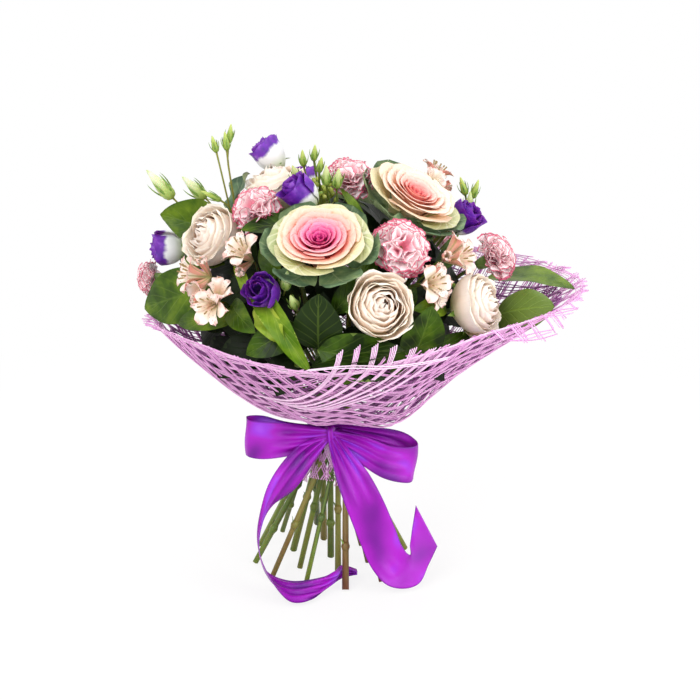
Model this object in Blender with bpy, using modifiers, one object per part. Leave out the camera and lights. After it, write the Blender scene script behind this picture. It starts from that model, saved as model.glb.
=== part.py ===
"""A hand-tied spiral bouquet that stands on its own cut stems.

Nineteen stems cross in one bundle at the tie and lean the same way round, so that their feet
spread into a ring and their flowers into a dome. An open-weave wrap is gathered round the bundle
and flares under the flowers, and a satin ribbon bow holds it. Metres, +Z up. The origin is the
cut end of the middle stem, on the surface that the bouquet stands on. Azimuths are in degrees
from the front (-Y), turning towards +X. Tilts are in degrees from straight up.
"""

import math

import bmesh
import bpy
import numpy as np
from mathutils import Matrix, Vector

MM = 0.001
WELD = 0.01 * MM  # points this near are one point

# Driving dimensions of the whole bouquet.
TIE_HEIGHT = 154 * MM  # the bundle's narrowest point, above the surface
DOME_CENTRE = Vector((0, 0, 240 * MM))  # the flowers sit on a dome about this point
FOCUS = Vector((0, 0, 175 * MM))  # the flowers face away from this point
FOOT_SPREAD = 80 * MM  # how far out the feet of the outer stems stand
INNER_FOOT_SPREAD = 42 * MM
INNER_RING = 7.8 * MM  # the six inner stems at the tie
OUTER_RING = 15.5 * MM  # the twelve outer stems at the tie
LARGEST_STEM = 3.5 * MM  # radius of the thickest outer stem
STEM_TAPER = 0.22  # share of its radius that a stem loses from foot to head
TOUCH_GAP = 0.3 * MM  # between pieces that touch
SEAT_GAP = 0.6 * MM  # between a stem's end and its head or leaf
PRESS_CLEARANCE = 2.0 * MM  # left between two stems that cross, above the tie
PRESS_ROUNDS = 300
PRESS_STEP = 0.5  # share of an overlap that one round undoes
STIFFNESS = 0.12  # how strongly a pushed stem straightens again, each round
TUBE_SIDES_LEVEL = 1  # bevel_resolution 1 makes a six-sided stem

# The tie, the wrap and the ribbon, from the inside out.
TWINE = 1.4 * MM
TWINE_HALF_HEIGHT = 3 * MM
WRAP_WALL = 0.9 * MM
RIBBON_WALL = 1.0 * MM
BAND_HALF_HEIGHT = 9 * MM  # the ribbon is gathered where it is tied
KNOT_SIZE = Vector((20, 18, 20)) * MM
KNOT_BITE = 0.9 * MM  # how far the knot reaches into the band
KNOT_DROP = -1.3 * MM


# ---------------------------------------------------------------- materials

def finish(name, colour, roughness=0.6, metallic=0.0):
    """A plain Principled material."""
    material = bpy.data.materials.new(name)
    material.use_nodes = True
    shader = material.node_tree.nodes["Principled BSDF"]
    shader.inputs["Base Color"].default_value = (*colour, 1)
    shader.inputs["Roughness"].default_value = roughness
    shader.inputs["Metallic"].default_value = metallic
    return material


# Each material's colour and roughness.
FINISHES = {
    "rose_petal": ((0.93, 0.84, 0.74), 0.55),
    "cabbage_leaf": ((0.90, 0.55, 0.52), 0.6),
    "carnation_petal": ((0.92, 0.58, 0.65), 0.6),
    "lisianthus_petal": ((0.45, 0.20, 0.62), 0.5),
    "alstroemeria_petal": ((0.90, 0.70, 0.62), 0.5),
    "stem": ((0.28, 0.38, 0.12), 0.55),
    "leaf": ((0.16, 0.30, 0.07), 0.4),
    "wrap_mesh": ((0.72, 0.48, 0.76), 0.7),
    "ribbon_satin": ((0.38, 0.06, 0.62), 0.3),
    "twine": ((0.55, 0.45, 0.28), 0.9),
}


# ---------------------------------------------------------------- places

def outward(azimuth):
    """The level unit vector at an azimuth."""
    a = math.radians(azimuth)
    return Vector((math.sin(a), -math.cos(a), 0))


def sideways(azimuth):
    """The level unit vector a quarter turn further round."""
    return outward(azimuth + 90)


def towards(azimuth, tilt):
    """The unit vector at an azimuth and a tilt."""
    t = math.radians(tilt)
    return outward(azimuth) * math.sin(t) + Vector((0, 0, math.cos(t)))


def dome_point(azimuth, tilt, reach_mm):
    """A point reach_mm from the dome's centre."""
    return DOME_CENTRE + towards(azimuth, tilt) * reach_mm * MM


def bundle_radius(z):
    """How far the outer stems reach from the middle at height z, near the tie."""
    lean = math.sqrt(FOOT_SPREAD**2 - OUTER_RING**2) / TIE_HEIGHT
    return math.hypot(OUTER_RING, (z - TIE_HEIGHT) * lean) + LARGEST_STEM


# Each head: kind, azimuth, tilt, reach from the dome's centre, and the way it faces if that
# isn't straight out of the bouquet.
HEADS = {
    "cabbage_front": ("cabbage", -4, 40, 164, None),
    "cabbage_right": ("cabbage", 84, 29, 162, (60, 30)),
    "cabbage_back": ("cabbage", 168, 54, 156, None),
    "rose_left": ("rose", -74, 45, 164, (-50, 60)),
    "rose_front": ("rose", 19, 61, 164, (15, 62)),
    "rose_right": ("rose", 63, 69, 168, (66, 72)),
    "rose_top": ("rose", -104, 19, 162, None),
    "rose_back": ("rose", -145, 58, 158, None),
    "carnation_front": ("carnation_large", 36, 43, 168, (32, 55)),
    "carnation_left": ("carnation", -58, 29, 166, (-40, 38)),
    "carnation_far_left": ("carnation_small", -91, 70, 186, (-95, 95)),
    "carnation_top": ("carnation", 100, 7, 164, (20, 25)),
    "carnation_right": ("carnation", 90, 62, 183, (75, 60)),
    "carnation_back": ("carnation", 132, 60, 162, None),
    "lisianthus_left": ("lisianthus", -94, 60, 184, (-85, 92)),
    "lisianthus_top": ("lisianthus", -137, 27, 194, (-110, 38)),
    "lisianthus_centre": ("lisianthus", -32, 17, 170, (-80, 45)),
    "lisianthus_front": ("lisianthus", -27, 56, 160, (-25, 60)),
    "lisianthus_right": ("lisianthus", 99, 48, 179, (70, 50)),
    "lisianthus_back": ("lisianthus", -160, 30, 162, None),
    "alstroemeria_left_1": ("alstroemeria", -57, 58, 176, (-60, 75)),
    "alstroemeria_left_2": ("alstroemeria", -45, 64, 172, (-20, 75)),
    "alstroemeria_left_3": ("alstroemeria", -42, 46, 168, (-45, 55)),
    "alstroemeria_right_1": ("alstroemeria", 44, 57, 168, (40, 75)),
    "alstroemeria_right_2": ("alstroemeria", 62, 52, 174, (60, 65)),
    "alstroemeria_right_3": ("alstroemeria", 122, 40, 194, (100, 35)),
}


def head_centre(head):
    kind, azimuth, tilt, reach, facing = HEADS[head]
    return dome_point(azimuth, tilt, reach)


def head_facing(head):
    kind, azimuth, tilt, reach, facing = HEADS[head]
    if facing:
        return towards(*facing)
    return (head_centre(head) - FOCUS).normalized()


# ---------------------------------------------------------------- turned heads

# Half outlines of the heads in mm, (radius, height) from the top of the axis down the outside to
# the seat. The steps across the top are the edges of the petal rings.
OUTLINES = {
    "rose": [(0, 44), (5, 47), (9, 43), (13, 48), (17, 43), (22, 47), (28, 42), (29.5, 32), (26, 15),
             (14, 4), (5, 0), (0, 0)],
    "cabbage": [(0, 28), (6, 33), (11, 27), (17, 34), (22, 28), (29, 36), (35, 30), (44, 37),
                (46, 33), (38, 20), (24, 8), (8, 0), (0, 0)],
    "carnation": [(0, 40), (12, 39), (21, 33), (26, 25), (22, 19), (9, 15), (7, 2), (4, 0), (0, 0)],
    "lisianthus": [(0, 34), (7, 38), (13, 35), (15, 28), (12, 14), (5, 2), (3, 0), (0, 0)],
    "alstroemeria": [(0, 16), (8, 24), (18, 33), (20, 31), (11, 17), (4, 3), (3, 0), (0, 0)],
}
OUTLINES["carnation_small"] = [(0.72 * r, 0.8 * z) for r, z in OUTLINES["carnation"]]
OUTLINES["carnation_large"] = [(1.15 * r, z) for r, z in OUTLINES["carnation"]]

# Frills round each kind of head: how many, how far the edge waves in and out, and up and down, as
# shares of the radius. Steps is how many faces go round it.
FRILLS = {
    "rose": (5, 0.04, 0.02, 15),
    "cabbage": (9, 0.05, 0.05, 27),
    "carnation": (8, 0.05, 0.04, 16),
    "carnation_small": (6, 0.05, 0.04, 12),
    "carnation_large": (8, 0.05, 0.04, 16),
    "lisianthus": (5, 0.06, 0.05, 15),
    "alstroemeria": (6, 0.24, 0.10, 18),
}


def bare_mesh(name, vertices, edges=(), faces=()):
    mesh = bpy.data.meshes.new(name)
    mesh.from_pydata(vertices, edges, faces)
    return mesh


def into_scene(name, data):
    thing = bpy.data.objects.new(name, data)
    bouquet.objects.link(thing)
    return thing


def evaluated_mesh(thing):
    """The object's mesh with its modifiers or bevel in it, and its doubled points welded."""
    graph = bpy.context.evaluated_depsgraph_get()
    mesh = bpy.data.meshes.new_from_object(thing.evaluated_get(graph))
    cage = bmesh.new()
    cage.from_mesh(mesh)
    bmesh.ops.remove_doubles(cage, verts=cage.verts, dist=WELD)
    cage.to_mesh(mesh)
    cage.free()
    return mesh


def turn(thing, steps):
    """A Screw modifier that turns an outline once round +Z."""
    screw = thing.modifiers.new("turn", "SCREW")
    screw.steps = screw.render_steps = steps
    screw.use_merge_vertices = True
    screw.merge_threshold = 0.0001


def widest(kind):
    """A head's greatest radius."""
    return max(r for r, z in OUTLINES[kind]) * MM


def turned_mesh(kind):
    """A head turned from its outline about +Z, seat at the origin, with its frills."""
    points = [(r * MM, 0, z * MM) for r, z in OUTLINES[kind]]
    edges = [(i, i + 1) for i in range(len(points) - 1)]
    blank = into_scene("blank", bare_mesh("blank", points, edges))
    count, across, up, steps = FRILLS[kind]
    turn(blank, steps)
    mesh = evaluated_mesh(blank)
    bpy.data.objects.remove(blank)
    mesh.name = kind
    for vertex in mesh.vertices:
        x, y, z = vertex.co
        share = math.hypot(x, y) / widest(kind)
        wave = math.cos(count * math.atan2(y, x)) * share**2
        vertex.co = (x * (1 + across * wave), y * (1 + across * wave), z + up * wave * widest(kind))
    mesh.shade_smooth()
    return mesh


def seat_height(kind):
    """From a head's seat to its middle."""
    return max(z for r, z in OUTLINES[kind]) / 2 * MM


def head_seat(head):
    """Where a head's seat is, and the way it faces."""
    facing = head_facing(head)
    return head_centre(head) - facing * seat_height(HEADS[head][0]), facing


def upright_on(direction):
    """The rotation that turns +Z to a direction."""
    return direction.to_track_quat("Z", "Y").to_matrix().to_4x4()


SLOT_OF_KIND = {"rose": "rose_petal", "cabbage": "cabbage_leaf", "carnation": "carnation_petal",
                "carnation_small": "carnation_petal", "carnation_large": "carnation_petal",
                "lisianthus": "lisianthus_petal",
                "alstroemeria": "alstroemeria_petal"}


def make_heads():
    shapes = {kind: turned_mesh(kind) for kind in SLOT_OF_KIND}
    for head, (kind, *_) in HEADS.items():
        seat, facing = head_seat(head)
        thing = into_scene(head, shapes[kind].copy())
        thing.matrix_world = Matrix.Translation(seat) @ upright_on(facing)
        thing.data.materials.append(materials[SLOT_OF_KIND[kind]])


# ---------------------------------------------------------------- leaves

# Each leaf: the dome places of its base and its tip as (azimuth, tilt, reach), its greatest width
# in mm, how far its middle arches off the line from base to tip, and how far it is rolled about
# that line, in degrees.
LEAVES = {
    "leaf_left_upper": ((-98, 45, 148), (-91, 52, 210), 52, 3, -50),
    "leaf_left_lower": ((-58, 58, 150), (-88, 79, 186), 51, 6, -55),
    "leaf_centre": ((-4, 74, 140), (-4, 56, 168), 44, 4, 0),
    "leaf_front": ((-6, 80, 150), (23, 75, 184), 36, 6, -20),
    "leaf_front_right": ((32, 80, 150), (34, 64, 190), 40, 5, 0),
    "leaf_right": ((80, 78, 168), (74, 76, 232), 46, 6, 70),
    "leaf_far_right": ((102, 72, 167), (88, 77, 247), 42, 9, 28),
    "leaf_back": ((-175, 80, 135), (-172, 71, 190), 46, 8, 0),
}
LEAF_WALL = 1.0 * MM
PETIOLE = 2.4 * MM
PETIOLE_SHARE = 0.14  # of the leaf's length
LEAF_CUP = 0.16  # how steeply the two halves rise from the midrib
LEAF_ROWS = 8
LEAF_COLUMNS = 4


def leaf_line(leaf):
    """A leaf's base, tip, and the unit vectors along it, across it and off its face."""
    base_place, tip_place, width, arch, roll = LEAVES[leaf]
    base, tip = dome_point(*base_place), dome_point(*tip_place)
    along = (tip - base).normalized()
    out = (base - FOCUS).normalized() + Vector((0, 0, 0.6))
    across = along.cross(out).normalized()
    across = Matrix.Rotation(math.radians(roll), 3, along) @ across
    return base, tip, along, across, across.cross(along).normalized()


def leaf_half_width(share):
    """Half the width of a leaf, as a share of its greatest width, along its length."""
    if share <= PETIOLE_SHARE:
        return 0.0
    blade = (share - PETIOLE_SHARE) / (1 - PETIOLE_SHARE)
    return 0.5 * math.sin(math.pi * blade**0.8) ** 0.75 if blade < 1 else 0.0


def bent_sheet(name, rows, columns, place, wall, closed=False):
    """A grid whose points follow place(row share, column share), thickened to a wall."""
    cage = bmesh.new()
    bmesh.ops.create_grid(cage, x_segments=rows, y_segments=columns, size=0.5)
    for vertex in cage.verts:
        vertex.co = place(vertex.co.x + 0.5, vertex.co.y + 0.5)
    if closed:
        bmesh.ops.remove_doubles(cage, verts=cage.verts, dist=WELD)
    mesh = bpy.data.meshes.new(name)
    cage.to_mesh(mesh)
    cage.free()
    thing = into_scene(name, mesh)
    solidify = thing.modifiers.new("wall", "SOLIDIFY")
    solidify.thickness = wall
    solidify.offset = 0
    mesh.shade_smooth()
    return thing


def make_leaf(leaf):
    width, arch = LEAVES[leaf][2] * MM, LEAVES[leaf][3] * MM
    base, tip, along, across, off = leaf_line(leaf)

    def place(share, side):
        half = max(leaf_half_width(share) * width, PETIOLE / 2)
        spread = (side - 0.5) * 2 * half
        cup = LEAF_CUP * abs(spread)
        lift = arch * math.sin(math.pi * share)
        return base.lerp(tip, share) + across * spread + off * (lift + cup)

    thing = bent_sheet(leaf, LEAF_ROWS, LEAF_COLUMNS, place, LEAF_WALL)
    thing.data.materials.append(materials["leaf"])


def leaf_seat(leaf):
    """Where a leaf's twig ends, and its direction there."""
    base, tip, along, across, off = leaf_line(leaf)
    return base, along


# ---------------------------------------------------------------- buds

# Each bud: the dome place of its tip as (azimuth, tilt, reach), the azimuth and tilt that it
# points to, its length and its greatest radius in mm. Buds grow as one piece with their stem.
BUDS = {
    "bud_left_1": ((-97, 47, 247), (-92, 42), 38, 6.0),
    "bud_left_2": ((-102, 43, 218), (-90, 46), 32, 5.5),
    "bud_top_left_1": ((-82, 28, 240), (-80, 14), 17, 2.8),
    "bud_top_left_2": ((-84, 25, 237), (-60, 6), 19, 3.0),
    "bud_top_left_3": ((-87, 23, 240), (90, 8), 19, 3.0),
    "bud_top_left_4": ((-78, 38, 204), (-85, 62), 22, 2.6),
    "bud_front_1": ((-16, 50, 176), (10, 35), 27, 4.5),
    "bud_front_2": ((-14, 57, 170), (-20, 40), 22, 4.0),
    "bud_centre_1": ((-55, 13, 190), (-60, 22), 20, 4.0),
    "bud_centre_2": ((-68, 8, 199), (-30, 6), 17, 3.0),
    "bud_centre_3": ((-74, 4, 201), (40, 8), 17, 3.0),
    "bud_centre_4": ((-20, 6, 193), (60, 12), 16, 3.0),
    "bud_centre_5": ((-4, 11, 192), (0, 10), 21, 4.2),
    "bud_centre_6": ((14, 12, 190), (30, 14), 21, 4.2),
    "bud_right_1": ((108, 41, 207), (-80, 18), 20, 3.2),
    "bud_right_2": ((104, 45, 203), (20, 12), 26, 4.2),
    "bud_right_3": ((106, 45, 217), (85, 16), 20, 3.2),
}
BUD_OUTLINE = [(0, 1), (0.45, 0.8), (0.85, 0.58), (1, 0.36), (0.8, 0.12), (0.3, 0), (0, 0)]
BUD_STEPS = 8
BUD_OVERLAP = 1 * MM  # how far the shoot reaches into its bud


def bud_seat(bud):
    """Where a bud's shoot ends, and the way the bud points."""
    tip_place, facing, length, radius = BUDS[bud]
    direction = towards(*facing)
    return dome_point(*tip_place) - direction * length * MM, direction


def make_bud(bud):
    length, radius = BUDS[bud][2:]
    points = [(radius * r * MM, 0, length * z * MM) for r, z in BUD_OUTLINE]
    edges = [(i, i + 1) for i in range(len(points) - 1)]
    blank = into_scene(bud, bare_mesh(bud, points, edges))
    turn(blank, BUD_STEPS)
    seat, direction = bud_seat(bud)
    mesh = evaluated_mesh(blank)
    mesh.transform(Matrix.Translation(seat) @ upright_on(direction))
    bpy.data.objects.remove(blank)
    return into_scene(bud, mesh)


# ---------------------------------------------------------------- stems

# Each plant: its ring at the tie, the azimuth that its stem leans to, its stem's radius in mm,
# what its stem ends in, and its side shoots as (what it ends in, where on the stem it leaves).
PLANTS = {
    "carnation_top_stem": ("middle", 0, 3.5, "carnation_top", []),
    "cabbage_front_stem": ("inner", 0, 3.6, "cabbage_front", []),
    "cabbage_right_stem": ("inner", 60, 3.6, "cabbage_right", []),
    "lisianthus_right_stem": ("inner", 120, 3.4, "lisianthus_right",
                              [("lisianthus_back", 0.42), ("lisianthus_top", 0.5),
                               ("bud_centre_1", 0.5), ("bud_centre_2", 0.5), ("bud_centre_3", 0.5),
                               ("bud_centre_4", 0.42), ("bud_centre_5", 0.42),
                               ("bud_centre_6", 0.42), ("bud_right_1", 0.6), ("bud_right_2", 0.6),
                               ("bud_right_3", 0.6)]),
    "salal_back_stem": ("inner", 180, 3.3, "leaf_back", []),
    "rose_top_stem": ("inner", -120, 3.6, "rose_top", []),
    "lisianthus_left_stem": ("inner", -60, 3.0, "lisianthus_left",
                             [("lisianthus_front", 0.42), ("lisianthus_centre", 0.5),
                              ("bud_left_1", 0.6), ("bud_left_2", 0.6), ("bud_top_left_1", 0.6),
                              ("bud_top_left_2", 0.6), ("bud_top_left_3", 0.6),
                              ("bud_top_left_4", 0.6), ("bud_front_1", 0.42),
                              ("bud_front_2", 0.42)]),
    "rose_front_stem": ("outer", 0, 3.4, "rose_front", []),
    "carnation_front_stem": ("outer", 30, 2.8, "carnation_front", []),
    "alstroemeria_right_stem": ("outer", 60, 3.0, "alstroemeria_right_1",
                                [("alstroemeria_right_2", 0.66), ("alstroemeria_right_3", 0.5)]),
    "rose_right_stem": ("outer", 90, 3.4, "rose_right", []),
    "salal_right_stem": ("outer", 120, 3.2, "leaf_far_right",
                         [("leaf_right", 0.66), ("leaf_front_right", 0.46)]),
    "carnation_right_stem": ("outer", 150, 2.8, "carnation_right", [("carnation_back", 0.6)]),
    "cabbage_back_stem": ("outer", 180, 3.5, "cabbage_back", []),
    "rose_back_stem": ("outer", -150, 3.4, "rose_back", []),
    "salal_left_stem": ("outer", -120, 3.2, "leaf_left_upper",
                        [("leaf_left_lower", 0.6), ("leaf_front", 0.36), ("leaf_centre", 0.44)]),
    "carnation_left_stem": ("outer", -60, 2.8, "carnation_far_left", [("carnation_left", 0.55)]),
    "rose_left_stem": ("outer", -90, 3.4, "rose_left", []),
    "alstroemeria_left_stem": ("outer", -30, 3.0, "alstroemeria_left_2",
                               [("alstroemeria_left_1", 0.7), ("alstroemeria_left_3", 0.6)]),
}
SHOOT_RADIUS = 1.4 * MM
BUD_SHOOT_RADIUS = 1.0 * MM
LOWER_POINTS = 2
UPPER_POINTS = 12
SHOOT_POINTS = 10
RINGS = {"middle": (0, 0), "inner": (INNER_RING, INNER_FOOT_SPREAD), "outer": (OUTER_RING, FOOT_SPREAD)}


def seat_of(end):
    """Where a stem or a shoot ends, and its direction there: just short of its head or leaf, or
    just inside its bud."""
    if end in BUDS:
        seat, direction = bud_seat(end)
        return seat + direction * BUD_OVERLAP, direction
    seat, direction = leaf_seat(end) if end in LEAVES else head_seat(end)
    return seat - direction * SEAT_GAP, direction


def curve_between(start, start_way, end, end_way, count):
    """Points on a cubic curve that leaves and arrives along the two directions."""
    pull = (end - start).length
    points = []
    for i in range(count):
        t = i / (count - 1)
        points.append(start * (2 * t**3 - 3 * t**2 + 1) + start_way * pull * (t**3 - 2 * t**2 + t)
                      + end * (3 * t**2 - 2 * t**3) + end_way * pull * (t**3 - t**2))
    return points


def main_stem_points(ring, azimuth, radius, end):
    """A stem's line: straight from its foot through the tie, then curving to its head."""
    waist, spread = RINGS[ring]
    slot = azimuth - 90
    at_tie = outward(slot) * waist + Vector((0, 0, TIE_HEIGHT))
    run = math.sqrt(spread**2 - waist**2)
    way = (sideways(slot) * run + Vector((0, 0, TIE_HEIGHT))).normalized()
    foot_height = radius * math.sqrt(1 - way.z**2)
    foot = at_tie - way * (TIE_HEIGHT - foot_height) / way.z
    lower = [foot.lerp(at_tie, i / LOWER_POINTS) for i in range(LOWER_POINTS)]
    seat, seat_way = seat_of(end)
    return lower + curve_between(at_tie, way, seat, seat_way, UPPER_POINTS)


class Line:
    """One stem or shoot as points with a radius. Its first and last points stay put."""

    def __init__(self, plant, end, points, radius, held):
        self.plant = plant
        self.end = end
        self.points = np.array([tuple(p) for p in points])
        self.radius = radius
        self.free = np.ones(len(points), bool)
        self.free[:held] = False
        self.free[-2:] = False


def lay_lines():
    """Every plant's lines before they press on each other: {plant: [stem, shoot, ...]}."""
    lines = {}
    for plant, (ring, azimuth, radius_mm, end, shoots) in PLANTS.items():
        radius = radius_mm * MM
        points = main_stem_points(ring, azimuth, radius, end)
        stem = Line(plant, end, points, radius, LOWER_POINTS + 2)
        lines[plant] = [stem]
        for shoot_end, share in shoots:
            fork = LOWER_POINTS + round(share * (UPPER_POINTS - 1))
            start = Vector(stem.points[fork])
            start_way = (Vector(stem.points[fork + 1]) - start).normalized()
            seat, seat_way = seat_of(shoot_end)
            points = curve_between(start, start_way, seat, seat_way, SHOOT_POINTS)
            radius = BUD_SHOOT_RADIUS if shoot_end in BUDS else SHOOT_RADIUS
            shoot = Line(plant, shoot_end, points, radius, 1)
            shoot.fork = fork
            lines[plant].append(shoot)
    return lines


def midpoint_weights(count):
    """The matrix that turns a line's points into its points and the middles between them."""
    middles = (np.eye(count) + np.eye(count, k=1))[:-1] / 2
    return np.vstack([np.eye(count), middles])


def press_apart(lines):
    """Stems push each other and the heads aside, as they do when the bunch is tied."""
    every = [line for group in lines.values() for line in group]
    starts = np.cumsum([0] + [len(line.points) for line in every])
    samples = [2 * len(line.points) - 1 for line in every]
    weights = np.zeros((sum(samples), starts[-1]))
    row = 0
    for line, start, rows in zip(every, starts, samples):
        weights[row:row + rows, start:start + len(line.points)] = midpoint_weights(len(line.points))
        row += rows
    plants = np.repeat([line.plant for line in every], samples)
    radii = np.repeat([line.radius for line in every], samples)
    ends = np.repeat([line.end for line in every], samples)
    free = np.concatenate([line.free for line in every])
    least = radii[:, None] + radii[None, :] + PRESS_CLEARANCE
    other = plants[:, None] != plants[None, :]
    heads = np.array([tuple(head_centre(head)) for head in HEADS])
    head_least = np.array([widest(HEADS[head][0]) for head in HEADS]) + radii[:, None] + TOUCH_GAP
    not_own = ends[:, None] != np.array(list(HEADS))[None, :]
    for _ in range(PRESS_ROUNDS):
        points = np.concatenate([line.points for line in every])
        at = weights @ points
        push = push_apart(at, at, least, other) + push_apart(at, heads, head_least, not_own)
        points += free[:, None] * PRESS_STEP * (weights.T @ push) / weights.sum(axis=0)[:, None]
        for line, start in zip(every, starts):
            line.points = points[start:start + len(line.points)]
            bend = (line.points[:-2] + line.points[2:]) / 2 - line.points[1:-1]
            line.points[1:-1] += line.free[1:-1, None] * STIFFNESS * bend
        for group in lines.values():
            for shoot in group[1:]:
                shoot.points[0] = group[0].points[shoot.fork]


def push_apart(at, others, least, wanted):
    """How far each place is pushed by all the others that are nearer than the least distance."""
    away = at[:, None] - others[None, :]
    distance = np.linalg.norm(away, axis=2) + 1e-9
    push = np.where(wanted & (distance < least), (least - distance) / distance, 0.0)
    return (push[:, :, None] * away).sum(axis=1)


def tube(name, points, radii):
    """A round stem along points, with a closed end at each end."""
    curve = bpy.data.curves.new(name, "CURVE")
    curve.dimensions = "3D"
    curve.bevel_depth = 1.0
    curve.bevel_resolution = TUBE_SIDES_LEVEL
    curve.use_fill_caps = True
    spline = curve.splines.new("POLY")
    spline.points.add(len(points) - 1)
    for point, place, radius in zip(spline.points, points, radii):
        point.co = (*place, 1)
        point.radius = radius
    return into_scene(name, curve)


def as_mesh_object(thing):
    """A curve object made a mesh object of the same name."""
    name, mesh = thing.name, evaluated_mesh(thing)
    mesh.transform(thing.matrix_world)
    bpy.data.objects.remove(thing)
    solid = into_scene(name, mesh)
    solid.name = name
    return solid


def joined(name, solids):
    """One body from overlapping solids."""
    body = solids[0]
    for other in solids[1:]:
        union = body.modifiers.new("join", "BOOLEAN")
        union.operation = "UNION"
        union.object = other
        whole = evaluated_mesh(body)
        body.modifiers.clear()
        body.data = whole
        bpy.data.objects.remove(other)
    body.name = name
    return body


def make_plant(plant, group):
    stem, shoots = group[0], group[1:]
    count = len(stem.points)
    taper = [stem.radius * (1 - STEM_TAPER * i / (count - 1)) for i in range(count)]
    solids = [tube(plant, stem.points, taper)]
    for shoot in shoots:
        solids.append(tube(plant + "_shoot", shoot.points, [shoot.radius] * len(shoot.points)))
    if shoots:
        buds = [make_bud(shoot.end) for shoot in shoots if shoot.end in BUDS]
        body = joined(plant, [as_mesh_object(solid) for solid in solids] + buds)
        body.data.shade_smooth()
    else:
        body = solids[0]
    body.data.materials.clear()
    body.data.materials.append(materials["stem"])


def make_plants():
    lines = lay_lines()
    press_apart(lines)
    for plant, group in lines.items():
        make_plant(plant, group)


# ---------------------------------------------------------------- tie

RING_STEPS = 32


def turned_ring(name, section):
    """A ring turned from a closed outline of (radius, height) points, in metres."""
    points = [(r, 0, z) for r, z in section]
    edges = [(i, (i + 1) % len(points)) for i in range(len(points))]
    ring = into_scene(name, bare_mesh(name, points, edges))
    turn(ring, RING_STEPS)
    return ring


def wrap_inside(z):
    """The inside radius of the gathered wrap near the tie."""
    over_twine = bundle_radius(TIE_HEIGHT) + TWINE + 2 * TOUCH_GAP
    return max(over_twine, bundle_radius(z) + 2 * TOUCH_GAP)


def make_tie():
    inside = bundle_radius(TIE_HEIGHT + TWINE_HALF_HEIGHT) + TOUCH_GAP
    outside = inside + TWINE
    section = [(outside, TIE_HEIGHT + TWINE_HALF_HEIGHT), (outside, TIE_HEIGHT - TWINE_HALF_HEIGHT),
               (inside, TIE_HEIGHT - TWINE_HALF_HEIGHT), (inside, TIE_HEIGHT + TWINE_HALF_HEIGHT)]
    tie = turned_ring("binding_twine", section)
    tie.data.materials.append(materials["twine"])


# ---------------------------------------------------------------- wrap

# The wrap's edge round the bouquet: azimuth, radius and height in mm.
WRAP_EDGE = [(-180, 180, 286), (-135, 178, 280), (-90, 172, 266), (-45, 176, 284), (0, 170, 270),
             (45, 194, 294), (90, 250, 300), (135, 205, 294), (180, 180, 286)]
WRAP_BOWL = 1.75  # above 1 the wrap leaves the tie flatter than a cone
WRAP_NECK = [-46, -31, -19, -10, 10]  # heights of its rows from the tie to the flare, in mm
WRAP_FLARE_ROWS = 8
WRAP_FOLD = 2.0 * MM  # height of the soft folds that the gathers make
WRAP_FOLDS = 9
WRAP_ROWS = len(WRAP_NECK) - 1 + WRAP_FLARE_ROWS
WRAP_COLUMNS = 36


def wrap_edge(azimuth):
    """The radius and height of the wrap's edge, eased between the places in WRAP_EDGE."""
    for (a, r0, z0), (b, r1, z1) in zip(WRAP_EDGE, WRAP_EDGE[1:]):
        if azimuth <= b:
            t = (azimuth - a) / (b - a)
            t = t * t * (3 - 2 * t)
            return (r0 + (r1 - r0) * t) * MM, (z0 + (z1 - z0) * t) * MM
    return WRAP_EDGE[-1][1] * MM, WRAP_EDGE[-1][2] * MM


def wrap_place(up, round_share):
    """A point of the wrap: from the end of its skirt, over the tie, out to its edge."""
    azimuth = -180 + 360 * round_share
    row = round(up * WRAP_ROWS)
    z = TIE_HEIGHT + WRAP_NECK[min(row, len(WRAP_NECK) - 1)] * MM
    radius = wrap_inside(z) + WRAP_WALL / 2
    if row >= len(WRAP_NECK):
        t = (row - len(WRAP_NECK) + 1) / WRAP_FLARE_ROWS
        edge_radius, edge_z = wrap_edge(azimuth)
        fold = WRAP_FOLD * math.sin(math.radians(WRAP_FOLDS * azimuth)) * math.sin(math.pi * t)
        radius += (edge_radius - radius) * t
        z += (edge_z - z) * t**WRAP_BOWL + fold
    return outward(azimuth) * radius + Vector((0, 0, z))


def make_wrap():
    wrap = bent_sheet("mesh_wrap", WRAP_ROWS, WRAP_COLUMNS, wrap_place, WRAP_WALL, closed=True)
    wrap.data.materials.append(materials["wrap_mesh"])


# ---------------------------------------------------------------- ribbon

def smooth_through(points, count):
    """Points evenly along a Catmull-Rom curve through the given ones."""
    p = [np.array(x, float) for x in points]
    p = [2 * p[0] - p[1]] + p + [2 * p[-1] - p[-2]]
    found = []
    spans = len(p) - 3
    for i in range(count):
        s = i / (count - 1) * spans
        k = min(int(s), spans - 1)
        t = s - k
        a, b, c, d = p[k:k + 4]
        found.append(0.5 * (2 * b + (c - a) * t + (2 * a - 5 * b + 4 * c - d) * t**2
                            + (3 * b - a - 3 * c + d) * t**3))
    return found


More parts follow.
